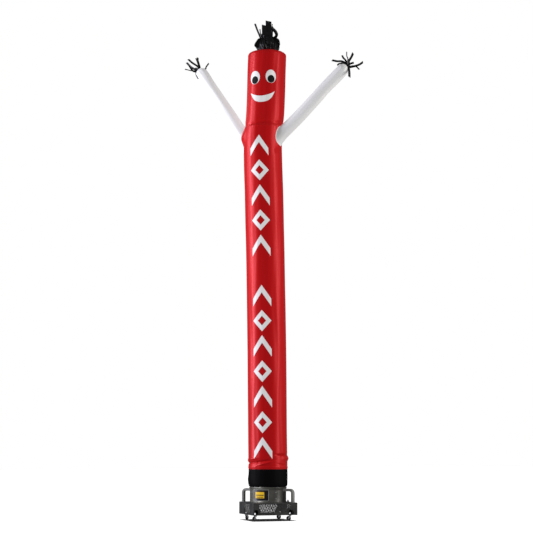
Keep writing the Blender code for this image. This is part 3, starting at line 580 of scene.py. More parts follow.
def tubeMiddle(height):
    # the curve through the sway's rows, as an offset along the sway's azimuth
    sway = np.array(tube["sway"])
    i = np.clip(np.searchsorted(sway[:, 0], height) - 1, 0, len(sway) - 2)
    part = (height - sway[i, 0]) / (sway[i + 1, 0] - sway[i, 0])
    offset = through(sway, (i + np.clip(part, 0.0, 1.0)) / (len(sway) - 1))[..., 1]
    middle = offset[..., None] * heading(np.array(tube["swayAzimuth"]))
    middle[..., 2] = height
    return middle


def tubeRadius(height):
    # grows evenly from the foot to the head's top
    grow = np.minimum(height / tube["headTop"], 1.0)
    return tube["footRadius"] + (tube["topRadius"] - tube["footRadius"]) * grow


def relief(azimuth, height):
    # folds + long soft ripples + puckers that fade away from each seam
    total = np.zeros(np.broadcast(azimuth, height).shape)
    for level, direction, halfTurn, halfHeight, depth, rise in tube["folds"]:
        away = within(azimuth - direction)
        across = 1.0 if halfTurn >= 360.0 else bump(away / halfTurn)
        total = total + depth * across * bump((height - level - rise * away) / halfHeight)
    turn = np.radians(azimuth)
    for waves, depth, phase, climb in tube["ripples"]:
        slow = np.sin(fullTurn * climb * height + phase)
        total = total + depth * np.sin(waves * turn + phase + 1.5 * slow)
    for level, waves, depth, reach in tube["puckers"]:
        fade = np.exp(-(((height - level) / reach) ** 2))
        uneven = 1.0 + 0.35 * np.sin(7.0 * turn + 9.0 * level)
        total = total - depth * fade * (1.0 + np.sin(waves * turn + 0.8 * np.sin(5.0 * turn))) * uneven
    return total


def tubePoint(azimuth, height, out=0.0):
    # middle line + heading * (radius + relief + out)
    reach = tubeRadius(height) + relief(azimuth, height) + out
    return tubeMiddle(height) + heading(azimuth) * reach[..., None]


# ---- stitches
def dashes(path, normals, length=0.0045, gap=0.0030, thick=0.0005):
    # short raised threads along a path: each is a four-sided prism that dips into the cloth at its ends
    run = runAlong(path)
    starts = np.arange(0.5 * gap, run[-1] - length, length + gap)
    spots = starts[:, None] + length * np.array([0.0, 0.2, 0.8, 1.0])
    centre, up = (np.stack([np.interp(spots, run, line) for line in rows.T], -1) for rows in (path, normals))
    up = unit(up)
    along = unit(centre[:, -1] - centre[:, 0])[:, None]
    side = unit(np.cross(along, up))
    size = thick * np.array([0.35, 1.0, 1.0, 0.35])[:, None]
    lift = thick * np.array([-0.5, 0.25, 0.25, -0.5])[:, None]
    ring = []
    for angle in (0.25, 0.75, 1.25, 1.75):
        reach = side * math.cos(angle * math.pi) + up * math.sin(angle * math.pi)
        ring.append(centre + up * lift + reach * size)
    flat = np.array([[0.0, 0.0], [0.001, 0.0], [0.001, 0.004], [0.0, 0.004]])
    # each thread shows its own place of the weave
    return prismParts(np.stack(ring, 2), lambda ends, sides: flat + starts.repeat(sides)[:, None, None], 1)


def ringDashes(height, out=0.0003):
    # a ring of stitches round the tube
    azimuth = np.linspace(0.0, 360.0, 721)
    return dashes(tubePoint(azimuth, np.full_like(azimuth, height), out), heading(azimuth))


def seamDashes(low, high):
    # the seam up the back, which closes the tube
    level = np.linspace(low, high, 600)
    turn = np.full_like(level, tube["seamAzimuth"])
    return dashes(tubePoint(turn, level, 0.0004), heading(turn), gap=0.0035)


# ---- arms: user settings and the line where each meets the tube
arms = {
    "right": {
        "azimuth": 44.0,
        "phase": 0.3,
        # distance from the tube's middle, height, radius
        "rows": [
            (0.150, 4.472, 0.083), (0.250, 4.566, 0.078), (0.360, 4.656, 0.075), (0.485, 4.759, 0.075),
            (0.690, 4.938, 0.073), (0.830, 5.066, 0.071), (0.960, 5.172, 0.072), (1.050, 5.247, 0.070),
            (1.078, 5.272, 0.066), (1.100, 5.291, 0.049), (1.114, 5.303, 0.017),
        ],
    },
    "left": {
        "azimuth": -138.5,
        "phase": 1.7,
        "rows": [
            (0.150, 4.410, 0.112), (0.230, 4.524, 0.101), (0.320, 4.652, 0.088), (0.450, 4.838, 0.083),
            (0.640, 5.110, 0.077), (0.760, 5.281, 0.075), (0.857, 5.431, 0.073), (0.892, 5.474, 0.067),
            (0.911, 5.497, 0.047), (0.924, 5.511, 0.017),
        ],
    },
    "around": 96,
    "along": 110,
}


def armFrame(arm, share):
    # middle = shoulder + heading * distance + up * height, with the directions across, over and along the arm
    reach, height, radius = np.moveaxis(through(arm["rows"], share), -1, 0)
    ahead = through(arm["rows"], np.minimum(share + 0.01, 1.0))
    behind = through(arm["rows"], np.maximum(share - 0.01, 0.0))
    outward = heading(np.array(arm["azimuth"]))
    along = unit(outward * (ahead - behind)[..., :1] + up3 * (ahead - behind)[..., 1:2])
    side = heading(np.array(arm["azimuth"] + 90.0))
    shoulder = tubeMiddle(np.array(tube["shoulder"])) * np.array([1.0, 1.0, 0.0])
    centre = shoulder + outward * reach[..., None] + up3 * height[..., None]
    return centre, radius, side, np.cross(side, along), along


def armPoint(arm, turn, share, extra=0.0):
    # middle line + the direction of the turn * (radius + extra)
    centre, radius, side, rise, _ = armFrame(arm, share)
    across = side * np.cos(turn)[..., None] + rise * np.sin(turn)[..., None]
    return centre + across * (radius + extra)[..., None]


def aroundTube(points):
    # azimuth and distance from the tube's middle line
    flat = points - tubeMiddle(points[..., 2])
    azimuth = np.degrees(np.arctan2(flat[..., 0], -flat[..., 1]))
    return azimuth, np.hypot(flat[..., 0], flat[..., 1])


def armRoot(arm, turns):
    # for each line along the arm, the share at which it comes out of the tube
    shares = np.linspace(0.0, 0.5, 300)
    grid = armPoint(arm, *np.broadcast_arrays(turns[:, None], shares))
    azimuth, reach = aroundTube(grid)
    inside = reach - tubeRadius(grid[..., 2]) - relief(azimuth, grid[..., 2]) < 0.0
    return shares[np.where(inside, np.arange(300), 0).max(1)]


def midway(values):
    return 0.5 * (values.min() + values.max())


armTurns = circle(arms["around"])
for side in sides:
    arm = arms[side]
    arm["root"] = armRoot(arm, armTurns)
    edge = armPoint(arm, armTurns, arm["root"])
    arm["edgeAzimuth"] = within(aroundTube(edge)[0] - arm["azimuth"]) + arm["azimuth"]
    arm["edgeHeight"] = edge[:, 2]
    arm["middle"] = midway(arm["edgeAzimuth"]), midway(arm["edgeHeight"])
    print(side, "arm leaves the tube from", edge[:, 2].min().round(3), "to", edge[:, 2].max().round(3))

# ---- torso and head: from, to and steps of their rows, heights of the stitch rings, ends of the seam
sections = {
    "torso": (
        [(0.591, 0.84, 38), (0.84, 4.25, 92), (4.25, 4.6597, 56)], (0.597, 0.605, 4.654), (0.60, 4.655),
    ),
    "head": (
        [(4.66, 4.80, 22), (4.80, 5.47, 34), (5.47, 5.5447, 16)], (4.666, 5.538), (4.665, 5.54),
    ),
}


def makeSection(name):
    # a stretch of the tube: azimuth across, height along, with the arm holes cut out of it
    spans, rings, seam = sections[name]
    levels = [np.linspace(low, high, steps + 1)[1:] for low, high, steps in spans]
    levels = np.concatenate([[spans[0][0]], *levels])
    cols = tube["around"]
    azimuth, height = np.meshgrid(tubeTurns, levels)
    dropped = np.zeros(height.shape, bool)
    for side in sides:
        arm = arms[side]
        middleAzimuth, middleHeight = arm["middle"]
        du = np.radians(within(azimuth - middleAzimuth)) * tubeRadius(height)
        dv = height - middleHeight
        edgeU = np.radians(arm["edgeAzimuth"] - middleAzimuth) * tubeRadius(arm["edgeHeight"])
        edgeV = arm["edgeHeight"] - middleHeight
        edgeAngle = np.arctan2(edgeV, edgeU)
        limit = np.interp(np.arctan2(dv, du), edgeAngle, np.hypot(edgeU, edgeV), period=fullTurn)
        near = np.hypot(du, dv)
        dropped |= near < limit
        # points just inside the opening move out to its edge
        moved = (near < limit) & (near > 0.55 * limit)
        push = limit / np.maximum(near, 1e-6)
        azimuth = np.where(moved, np.degrees(du * push / tubeRadius(height)) + middleAzimuth, azimuth)
        height = np.where(moved, dv * push + middleHeight, height)
    points = tubePoint(azimuth, height)
    faces = gridFaces(len(levels), cols, True)
    corners = gridCorners(girth(cols, tube["topRadius"]), levels[:, None])
    keep = ~dropped.ravel()[faces].all(1)
    sheet = thickSheet(points, faces[keep], corners[keep], gridNormals(points, True), tube["sheet"])
    stitches = [*map(ringDashes, rings), seamDashes(*seam)]
    return buildPiece(name + "_cloth", [sheet, *stitches], sewn["red"], [name])


torsoPiece = makeSection("torso")
headPiece = makeSection("head")
print("torso and head are made")

# ---- cap and sleeve: user settings
cap = {
    "stitchHeight": 5.551,
    # share of the head's radius, height
    "profile": [
        (1.0, 5.545), (1.0015, 5.550), (0.999, 5.558), (0.990, 5.567), (0.975, 5.5745), (0.945, 5.582),
        (0.90, 5.588), (0.80, 5.5945), (0.58, 5.6005), (0.30, 5.602), (0.02, 5.602),
    ],
}
sleeve = {
    "stitchHeight": 0.585,
    # height, radius
    "profile": [
        (0.3868, 0.2128), (0.390, 0.2185), (0.397, 0.2235), (0.409, 0.2262), (0.428, 0.2278),
        (0.470, 0.2280), (0.530, 0.2280), (0.5907, 0.2280),
    ],
}


def tubeSheet(points, radius, v):
    # closed rows of points as cloth, measured round a circle of the radius
    faces = gridFaces(*points.shape[:2], True)
    corners = gridCorners(girth(points.shape[1], radius), v)
    return thickSheet(points, faces, corners, gridNormals(points, True), tube["sheet"])


def makeCap():
    # a disc whose rim is gathered to the head: share of the radius across, height along
    place = np.linspace(0.0, 1.0, 46)[:, None] ** 0.85
    share, level = np.moveaxis(through(cap["profile"], place), -1, 0)
    turn, angle = tubeTurns, np.radians(tubeTurns)
    fade = np.exp(-(((1.0 - share) / 0.09) ** 2)) * (share > 0.5)
    pucker = (1.0 + np.sin(60.0 * angle + 0.8 * np.sin(5.0 * angle))) * fade
    radial = np.sin(11.0 * angle + 2.0) + 0.6 * np.sin(23.0 * angle)
    crease = radial * (1 - (1 - share) ** 2) * share * 0.0010
    rim = np.full_like(angle, tube["headTop"])
    reach = (tubeRadius(rim) + relief(turn, rim)) * share - 0.0006 * pucker * share
    points = tubeMiddle(level) + heading(turn) * reach[..., None]
    points[..., 2] += crease - 0.0009 * pucker * (share < 0.99)
    parts = [tubeSheet(points, tube["topRadius"], place * 0.24), ringDashes(cap["stitchHeight"], 0.0006)]
    return buildPiece("cap_cloth", parts, sewn["red"], ["head_cap"])


def makeSleeve():
    # the black sleeve: rises from its gathered foot round the collar up to the red cloth
    level, radius = np.moveaxis(through(sleeve["profile"], np.linspace(0.0, 1.0, 40)[:, None]), -1, 0)
    turn, angle = tubeTurns, np.radians(tubeTurns)
    foot = np.exp(-(((level - tube["sleeveFoot"]) / 0.03) ** 2))
    gathers = 0.0022 * np.sin(46.0 * angle + np.sin(7 * angle)) * foot * (1 - foot * 0.9)
    billow = 0.008 * bump(within(turn + 108.0) / 55.0) * bump((level - 0.47) / 0.075)
    soft = relief(turn, level) * np.clip((level - 0.40) / 0.1, 0.0, 1.0)
    points = tubeMiddle(level) + heading(turn) * (radius + gathers + billow + soft)[..., None]
    parts = [tubeSheet(points, tube["footRadius"], level), ringDashes(sleeve["stitchHeight"], 0.0006)]
    return buildPiece("sleeve_cloth", parts, sewn["black"], ["sleeve"])


def makeArm(side):
    # turn round the arm across, share of its length along; the first rows lie on the tube as a seam
    arm = arms[side]
    cols = arms["around"]
    run = np.linspace(0.0, 1.0, arms["along"])[:, None]
    run = 0.5 * run + 0.5 * np.sin(0.5 * math.pi * run)
    turn, share = np.broadcast_arrays(armTurns, arm["root"] + (1.0 - arm["root"]) * run)
    distance = run * 1.1
    near = np.exp(-((distance / 0.035) ** 2))
    end = np.clip((share - 0.80) / 0.20, 0.0, 1.0)
    phase = arm["phase"]
    extra = 0.0012 * np.sin(5 * turn + 7.0 * distance + phase) * (1 - near)
    extra += 0.0008 * np.sin(9 * turn - 11.0 * distance + 2 * phase) * (1 - near)
    extra += 0.0016 * near * np.sin(34 * turn)
    pleats = np.sin(13 * turn + phase) + 0.5 * np.sin(21 * turn + 2 * phase)
    extra += pleats * (0.0004 + 0.0055 * end * (1 - 0.6 * end)) * (end > 0)
    points = armPoint(arm, turn, share, extra)
    points[0] += heading(arm["edgeAzimuth"]) * 0.0026
    # seam rows outside the opening, on the tube: how much wider than the opening, how far off the tube
    seam = []
    middleAzimuth, middleHeight = arm["middle"]
    for grow, out in ((1.10, 0.0008), (1.085, 0.0022), (1.03, 0.0026)):
        azimuth = middleAzimuth + (arm["edgeAzimuth"] - middleAzimuth) * grow
        height = middleHeight + (arm["edgeHeight"] - middleHeight) * grow
        seam.append(tubePoint(azimuth, np.minimum(height, tube["neck"] + 0.02), out))
    points = np.concatenate([seam, points])
    normals = gridNormals(points, True)
    outward = points - points.mean(1, keepdims=True)
    if (normals * outward).sum() < 0.0:
        normals = -normals
    steps = np.linalg.norm(np.diff(points, axis=0), axis=2).mean(1)
    v = np.concatenate([[0.0], np.cumsum(steps)])[:, None]
    faces, corners = gridFaces(len(points), cols, True), gridCorners(girth(cols, 0.08), v)
    sheet = outwardSheet(points, faces, corners, gridNormals(points, True), outward, tube["sheet"])
    ring = np.concatenate([points[2], points[2][:1]])
    up = np.concatenate([normals[1], normals[1][:1]])
    parts = [sheet, dashes(ring + 0.0004 * up, up)]
    return buildPiece("arm_cloth_" + side, parts, [armClothLitAndShaded[side], whiteThread], ["arm_" + side])


capPiece = makeCap()
sleevePiece = makeSleeve()
armPieces = {side: makeArm(side) for side in sides}
# the right arm, the torso and the head let the right strip's light by
clearOfStrip = lightGroup("castsNoShade", [armPieces["right"], torsoPiece, headPiece], "EXCLUDE")
rightStrip.light_linking.blocker_collection = clearOfStrip
print("cap, sleeve and arms are made")

# ---- face and motifs: user settings
face = {
    "azimuth": -30.0,
    "roll": 2.0,
    "lift": 0.0006,
    "thick": 0.0010,
    "nextLayer": 0.0014,
    # side, azimuth, height, width, tall
    "eyes": [("left", -54.6, 5.243, 0.134, 0.162), ("right", -4.4, 5.250, 0.128, 0.162)],
    "pupilWidth": 0.086,
    "pupilTall": 0.094,
    "pupilDrop": 0.031,
    "pupilTurn": 0.6,
    "hem": 0.005,
    "smileHeight": 5.066,
    "smileTurn": 77.0,
    "smileInner": 0.052,
    "smileOuter": 0.128,
}
motifs = {
    "tall": 0.252,
    "halfWidth": 0.112,
    "stroke": 0.062,
    # height of the top slot's middle, slots, pitch
    "groups": [(4.412, 5, 0.3012), (2.612, 7, 0.2960)],
    "azimuths": np.linspace(-30.0, -33.5, 12),
}


def onFront(azimuth, height, along, up, out, roll=0.0):
    # distances along the cloth and up it, turned by the roll, as azimuth and height on the tube
    turn = math.radians(roll)
    side = along * math.cos(turn) - up * math.sin(turn)
    level = height + along * math.sin(turn) + up * math.cos(turn)
    return tubePoint(azimuth + np.degrees(side / tubeRadius(level)), level, out)


def patchPiece(node, along, up, azimuth, height, edges, roll=0.0, closed=False, cloth="white", layer=0):
    # a sewn-on patch: a grid of distances along the cloth and up it, laid on the tube
    along, up = np.broadcast_arrays(along, up)
    out = face["lift"] + layer * face["nextLayer"]
    top = out + face["thick"]
    outward = heading(np.array(azimuth))
    normals = gridNormals(onFront(azimuth, height, along, up, out, roll), closed)
    points = onFront(azimuth, height, along, up, top, roll)
    wide, tall = (np.concatenate([grid, grid[:, :1]], 1) if closed else grid for grid in (along, up))
    faces, corners = gridFaces(*along.shape, closed), gridCorners(wide, tall)
    parts = [outwardSheet(points, faces, corners, normals, outward, face["thick"])]
    for pathAlong, pathUp in edges:
        path = onFront(azimuth, height, pathAlong, pathUp, top, roll)
        parts.append(dashes(path, np.broadcast_to(outward, path.shape), 0.004, 0.0028))
    name = (node + "_").replace("_", "_patch_", 1).rstrip("_")
    return buildPiece(name, parts, sewn[cloth], [node])


def makeOval(node, azimuth, height, width, tall, cloth, layer):
    # along = half the width * share * cosine of the turn, up = half the height * share * its sine
    share, turn = np.linspace(0.004, 1.0, 16)[:, None], circle(72)
    along, up = 0.5 * width * share * np.cos(turn), 0.5 * tall * share * np.sin(turn)
    ring = np.linspace(0.0, fullTurn, 200)
    edge = (0.5 * width - face["hem"]) * np.cos(ring), (0.5 * tall - face["hem"]) * np.sin(ring)
    return patchPiece(node, along, up, azimuth, height, [edge], face["roll"], True, cloth, layer)


def makeSmile():
    # a crescent: the drop is a parabola along its upper edge and a fuller curve along its lower one
    half = 0.5 * math.radians(face["smileTurn"]) * tubeRadius(np.array(face["smileHeight"]))
    extra = face["smileOuter"] - face["smileInner"]

    def shape(x, v):
        return x * half, -face["smileInner"] * (1.0 - x**2) - extra * (1.0 - v) * (1.0 - x**4)

    along, up = shape(np.linspace(-1.0, 1.0, 90), np.linspace(0.0, 1.0, 12)[:, None])
    edges = [shape(np.linspace(-0.93, 0.93, 160), v) for v in (0.94, 0.06)]
    return patchPiece("smile", along, up, face["azimuth"], face["smileHeight"], edges, face["roll"])


def makeChevron(node, azimuth, height):
    # up = foot + fall * (1 - |across|) + share * stroke
    stroke = motifs["stroke"] * 1.45
    fall = motifs["tall"] - stroke

    def shape(x, v):
        return x * motifs["halfWidth"], -0.5 * motifs["tall"] + fall * (1.0 - np.abs(x)) + v * stroke

    along, up = shape(np.linspace(-1.0, 1.0, 49), np.linspace(0.0, 1.0, 9)[:, None])
    edges = [shape(np.linspace(-0.95, 0.95, 120), v) for v in (0.06, 0.94)]
    return patchPiece(node, along, up, azimuth, height, edges)


def makeDiamond(node, azimuth, height):
    # the outline is 1 / (|x| + |y|) round a circle, scaled between its inner and outer edges
    def shape(angle, v):
        x, y = np.cos(angle), np.sin(angle)
        size = (1.0 - (1.0 - v) * motifs["stroke"] / motifs["halfWidth"]) / (np.abs(x) + np.abs(y))
        return motifs["halfWidth"] * x * size, 0.5 * motifs["tall"] * y * size

    along, up = shape(circle(64), np.linspace(0.0, 1.0, 9)[:, None])
    edges = [shape(np.linspace(0.0, fullTurn, 401), v) for v in (0.07, 0.93)]
    return patchPiece(node, along, up, azimuth, height, edges, closed=True)


for side, azimuth, height, width, tall in face["eyes"]:
    makeOval("eye_" + side, azimuth, height, width, tall, "white", 0)
    pupil = azimuth + face["pupilTurn"], height - face["pupilDrop"], face["pupilWidth"], face["pupilTall"]
    makeOval("pupil_" + side, *pupil, "pupil", 1)
makeSmile()
motifPieces = []
for top, slots, pitch in motifs["groups"]:
    for slot in range(slots):
        count = len(motifPieces)
        makeMotif = makeDiamond if slot % 2 else makeChevron
        motifPieces.append(makeMotif(f"motif_{count + 1:02d}", motifs["azimuths"][count], top - slot * pitch))
print("face and motifs are made")


# ---- ribbons of the streamers and the hair
def ribbonPart(points, width, thick, curl, twist, steps, cut):
    # a strip with its broad side along screenAway; its section is an arc, and its end is cut aslant
    share = np.linspace(0.0, 1.0, steps)[:, None]
    path = through(points, share[:, 0])
    along = unit(np.gradient(path, axis=0))
    side = unit(np.cross(along, screenAway))
    turn = twist * np.sin(2.2 * share)
    flat = side * np.cos(turn) + np.cross(side, along) * np.sin(turn)
    up = np.cross(flat, along)
    t = np.linspace(-1.0, 1.0, 7)[:, None]
    half = 0.5 * width
    x = half * np.sin(curl * t) / max(math.sin(min(curl, 1.5)), 0.2)
    y = half * (np.cos(curl * t) - math.cos(curl)) * 0.8
    slant = cut * width * t * share[..., None] ** 6
    grid = path[:, None] + flat[:, None] * x + up[:, None] * y + along[:, None] * slant
    corners = gridCorners(half * t[:, 0], runAlong(path)[-1] * share)
    return thickSheet(grid, gridFaces(steps, 7, False), corners, gridNormals(grid, False), thick)


knot = {"radius": 0.0225, "flatness": 0.68, "beyondArm": 0.0125, "seed": {"right": 2.2, "left": 1.0}}


def knotPart(centre, along, seed):
    # a crumpled ball of knotted strips
    turn, tilt = circle(40), np.linspace(0.03, math.pi - 0.03, 24)[:, None]
    lumps = 0.13 * np.sin(3 * turn + 4 * tilt + seed) + 0.09 * np.sin(7 * turn - 5 * tilt + 2 * seed)
    lumps += 0.07 * np.sin(9 * tilt + 2 * turn)
    size = (knot["radius"] * (0.93 + lumps))[..., None]
    side = unit(np.cross(along, np.array([0.3, 0.2, 0.9])))
    flat = side * np.cos(turn)[:, None] + np.cross(along, side) * np.sin(turn)[:, None]
    ball = flat * np.sin(tilt)[..., None] - along * np.cos(tilt)[..., None] * knot["flatness"]
    return surfacePart(centre + ball * size, True, np.linspace(0.0, 0.12, 41), tilt * knot["radius"])


streamers = {
    # width, how far the tip leans away, twist, then right and up of the knot from root to tip
    "right": [
        (0.024, 0.030, 0.5, [(-0.019, 0.019), (-0.067, 0.044), (-0.124, 0.048), (-0.181, 0.064)]),
        (0.023, -0.030, -0.5, [(-0.023, 0.017), (-0.064, 0.018), (-0.101, 0.006), (-0.122, -0.016)]),
        (0.022, 0.050, 0.4, [(-0.006, 0.020), (-0.025, 0.062), (-0.048, 0.093), (-0.060, 0.128)]),
        (0.017, -0.050, 0.9, [(0.004, 0.020), (0.004, 0.068), (-0.010, 0.100), (-0.011, 0.142)]),
        (0.028, -0.010, -0.3, [(0.005, 0.020), (0.020, 0.052), (0.046, 0.093), (0.066, 0.139)]),
        (0.030, 0.055, 0.4, [(0.008, 0.000), (0.020, 0.010), (0.045, 0.026), (0.078, 0.040)]),
        (0.026, 0.000, -0.5, [
            (0.010, -0.030), (0.050, -0.024), (0.095, -0.013), (0.141, 0.004), (0.183, 0.033),
        ]),
        (0.020, -0.040, 0.4, [(0.020, -0.020), (0.073, -0.017), (0.107, -0.034), (0.133, -0.068)]),
        (0.033, -0.040, 0.5, [(0.000, 0.010), (0.012, -0.043), (0.018, -0.096), (0.017, -0.158)]),
        (0.037, -0.020, -0.4, [(0.006, -0.030), (0.012, 0.005), (0.010, 0.035), (0.014, 0.060)]),
        (0.022, 0.110, 0.3, [(0.000, 0.000), (0.020, 0.030), (0.010, 0.050), (0.020, 0.040)]),
        (0.022, 0.090, 0.3, [(0.000, 0.000), (-0.020, 0.020), (-0.030, 0.010), (-0.040, -0.020)]),
    ],
    "left": [
        (0.027, 0.050, 0.4, [
            (-0.008, -0.004), (-0.045, 0.006), (-0.085, 0.032), (-0.113, 0.060), (-0.148, 0.102),
        ]),
        (0.024, 0.030, -0.4, [(-0.015, -0.028), (-0.053, -0.024), (-0.083, 0.002), (-0.110, 0.048)]),
        (0.024, -0.040, 0.4, [
            (0.018, 0.000), (0.000, 0.026), (-0.022, 0.046), (-0.076, 0.079), (-0.124, 0.120),
        ]),
        (0.030, 0.000, 0.3, [
            (0.020, 0.000), (0.012, 0.040), (0.000, 0.080), (-0.010, 0.112), (-0.024, 0.144),
        ]),
        (0.026, -0.020, -0.5, [(0.018, -0.002), (0.006, 0.050), (-0.006, 0.100), (-0.006, 0.147)]),
        (0.023, 0.020, 0.6, [
            (0.010, -0.006), (0.055, 0.006), (0.090, 0.008), (0.098, 0.036), (0.130, 0.084),
        ]),
        (0.013, -0.050, 0.8, [(-0.020, -0.018), (-0.083, -0.020), (-0.120, -0.016), (-0.164, -0.010)]),
        (0.015, -0.060, -0.8, [(-0.016, -0.018), (-0.027, -0.040), (-0.023, -0.085), (0.004, -0.138)]),
        (0.022, 0.090, 0.3, [(-0.010, 0.000), (-0.030, 0.020), (-0.040, 0.020), (-0.050, 0.010)]),
    ],
}


def makeStreamers(side):
    centre, _, _, _, along = armFrame(arms[side], np.array(1.0))
    middle = centre + along * knot["beyondArm"]
    parts = [knotPart(middle, along, knot["seed"][side])]
    lean = [0.0, 0.16, 0.42, 0.72, 1.0]
    for width, away, twist, rows in streamers[side]:
        rows = np.array(rows)
        back = away * np.interp(np.linspace(0.0, 4.0, len(rows)), range(5), lean)
        path = middle + screenRight * rows[:, :1] + up3 * rows[:, 1:] + screenAway * back[:, None]
        path = np.concatenate([[middle + 0.4 * (path[0] - middle)], path])
        parts.append(ribbonPart(path, width, 0.0011, 0.6, twist, 30, 0.25))
    return buildPiece("streamer_bunch_" + side, parts, [blackStrip], ["streamers_" + side])


streamerPieces = {side: makeStreamers(side) for side in sides}

hair = {
    "offset": 0.004,
    "around": 132,
    # height over the cap, radius of the gathered bunch
    "bunch": [
        (0.0000, 0.092), (0.0080, 0.104), (0.0300, 0.121), (0.0800, 0.137), (0.1200, 0.124),
        (0.1500, 0.104), (0.1750, 0.086), (0.2000, 0.064), (0.2120, 0.020),
    ],
    # width, curl, twist, then right, away and height from root to tip
    "ribbons": [
        (0.072, 0.30, 0.15, [
            (0.020, 0.00, 5.643), (0.017, 0.00, 5.767), (0.015, 0.00, 5.892), (0.014, -0.01, 5.997),
        ]),
        (0.060, 0.30, -0.15, [
            (-0.030, -0.02, 5.638), (-0.034, -0.02, 5.731), (-0.037, -0.02, 5.840), (-0.038, -0.03, 5.940),
        ]),
        (0.112, 0.40, 0.20, [
            (-0.004, -0.05, 5.630), (-0.004, -0.06, 5.712), (0.002, -0.055, 5.791), (0.004, -0.05, 5.850),
        ]),
        (0.100, 0.35, 0.20, [
            (0.010, 0.03, 5.64), (0.012, 0.05, 5.74), (0.018, 0.05, 5.84), (0.020, 0.06, 5.905),
        ]),
        (0.024, 0.6, 0.5, [
            (-0.056, -0.03, 5.66), (-0.073, -0.03, 5.744), (-0.090, -0.03, 5.798), (-0.124, -0.03, 5.883),
            (-0.151, -0.03, 5.958),
        ]),
        (0.018, 0.8, 0.9, [
            (-0.068, 0.03, 5.68), (-0.077, 0.03, 5.775), (-0.083, 0.04, 5.848), (-0.091, 0.05, 5.915),
        ]),
        (0.017, 0.8, 1.0, [
            (0.046, 0.03, 5.70), (0.052, 0.03, 5.800), (0.054, 0.03, 5.892), (0.060, 0.04, 5.975),
        ]),
        (0.040, 0.6, 0.4, [
            (0.040, 0.02, 5.690), (0.066, 0.00, 5.745), (0.078, -0.02, 5.778), (0.100, -0.03, 5.790),
            (0.112, -0.02, 5.826), (0.094, 0.00, 5.872), (0.066, 0.02, 5.905), (0.048, 0.03, 5.935),
        ]),
        (0.050, 0.7, -0.4, [
            (0.050, 0.00, 5.690), (0.068, -0.03, 5.765), (0.098, -0.05, 5.752), (0.124, -0.05, 5.735),
            (0.131, -0.04, 5.690),
        ]),
        (0.048, 0.8, 0.4, [
            (0.060, -0.02, 5.650), (0.110, -0.05, 5.660), (0.128, -0.05, 5.690), (0.112, -0.03, 5.730),
            (0.080, -0.02, 5.750),
        ]),
        (0.040, 0.8, 0.5, [
            (-0.045, -0.03, 5.680), (-0.088, -0.05, 5.750), (-0.122, -0.07, 5.712), (-0.141, -0.07, 5.670),
            (-0.100, -0.08, 5.655),
        ]),
        (0.034, 0.7, 0.3, [
            (-0.020, 0.06, 5.68), (-0.03, 0.09, 5.79), (-0.02, 0.11, 5.84), (-0.03, 0.13, 5.88),
        ]),
        (0.030, 0.8, -0.3, [
            (0.03, 0.06, 5.68), (0.04, 0.10, 5.77), (0.05, 0.14, 5.81), (0.04, 0.16, 5.85),
        ]),
        (0.044, 0.7, 0.3, [
            (0.00, -0.06, 5.68), (-0.01, -0.10, 5.755), (0.01, -0.138, 5.73), (0.02, -0.15, 5.67),
        ]),
        (0.026, 0.8, 0.3, [
            (-0.04, -0.05, 5.68), (-0.055, -0.09, 5.76), (-0.060, -0.11, 5.80), (-0.075, -0.12, 5.77),
        ]),
        (0.050, 0.8, -0.4, [
            (0.02, 0.06, 5.66), (0.03, 0.12, 5.72), (0.00, 0.15, 5.71), (-0.03, 0.155, 5.66),
        ]),
    ],
}


def makeHair():
    # a gathered bunch with deep uneven folds, and loose strips of several widths rising from it
    base = tubeMiddle(np.array(tube["capFlat"])) + screenRight * hair["offset"]
    turn = circle(hair["around"])
    level, radius = np.moveaxis(through(hair["bunch"], np.linspace(0.0, 1.0, 44)[:, None]), -1, 0)
    grow = np.clip(level / 0.04, 0.0, 1.0)
    lobes = 0.075 * np.cos(7 * turn + 9.0 * level) + 0.05 * np.sin(13 * turn - 14.0 * level + 1.0)
    lobes = lobes + 0.03 * np.sin(29 * turn + 22.0 * level) + 0.02 * np.sin(40.0 * level + 3 * turn)
    reach = radius * (1.0 + lobes * grow)
    flat = screenRight * np.cos(turn)[:, None] + screenAway * np.sin(turn)[:, None]
    points = base + flat * reach[..., None] + up3 * level[..., None]
    points[..., 2] += 0.0012 + 0.006 * np.sin(5 * turn + 1.0) * np.clip(level / 0.15, 0, 1)
    parts = [surfacePart(points, True, np.linspace(0.0, 0.8, hair["around"] + 1), 1.4 * level)]
    middle = base * np.array([1.0, 1.0, 0.0])
    for width, curl, twist, rows in hair["ribbons"]:
        path = middle + np.array(rows) @ np.stack([screenRight, screenAway, up3])
        parts.append(ribbonPart(path, width, 0.0012, curl, twist, 34, 0.12))
    return buildPiece("hair_bunch", parts, [blackStrip], ["hair"])


hairPiece = makeHair()
print("streamers and hair are made")

# ---- the blower: turned and bent pieces
blower = {
    "wallFace": 0.27,
    "baseTop": 0.209,
    "drumRadius": 0.213,
    "rimTop": 0.384,
    "collarRadius": 0.2105,
    "collarTop": 0.432,
    # wall, turn, outline along the wall and up it: the lower corners, then the upper ones
    "windows": [
        ("front", 0.0, [(-0.182, 0.101), (0.141, 0.101), (0.188, 0.191), (-0.203, 0.191)]),
        ("right", 90.0, [(-0.105, 0.080), (0.105, 0.080), (0.109, 0.191), (-0.109, 0.191)]),
        ("back", 180.0, [(-0.174, 0.075), (0.174, 0.075), (0.222, 0.190), (-0.222, 0.190)]),
        ("left", 270.0, [(-0.070, 0.080), (0.140, 0.080), (0.144, 0.191), (-0.074, 0.191)]),
    ],
    "handles": [("handle_left", -135.0), ("handle_right", 45.0)],
    "handleReach": 0.3205,
    "handleTop": 0.351,
    "handleWide": 0.052,
    "handleThick": 0.030,
    "handleBend": 0.034,
}


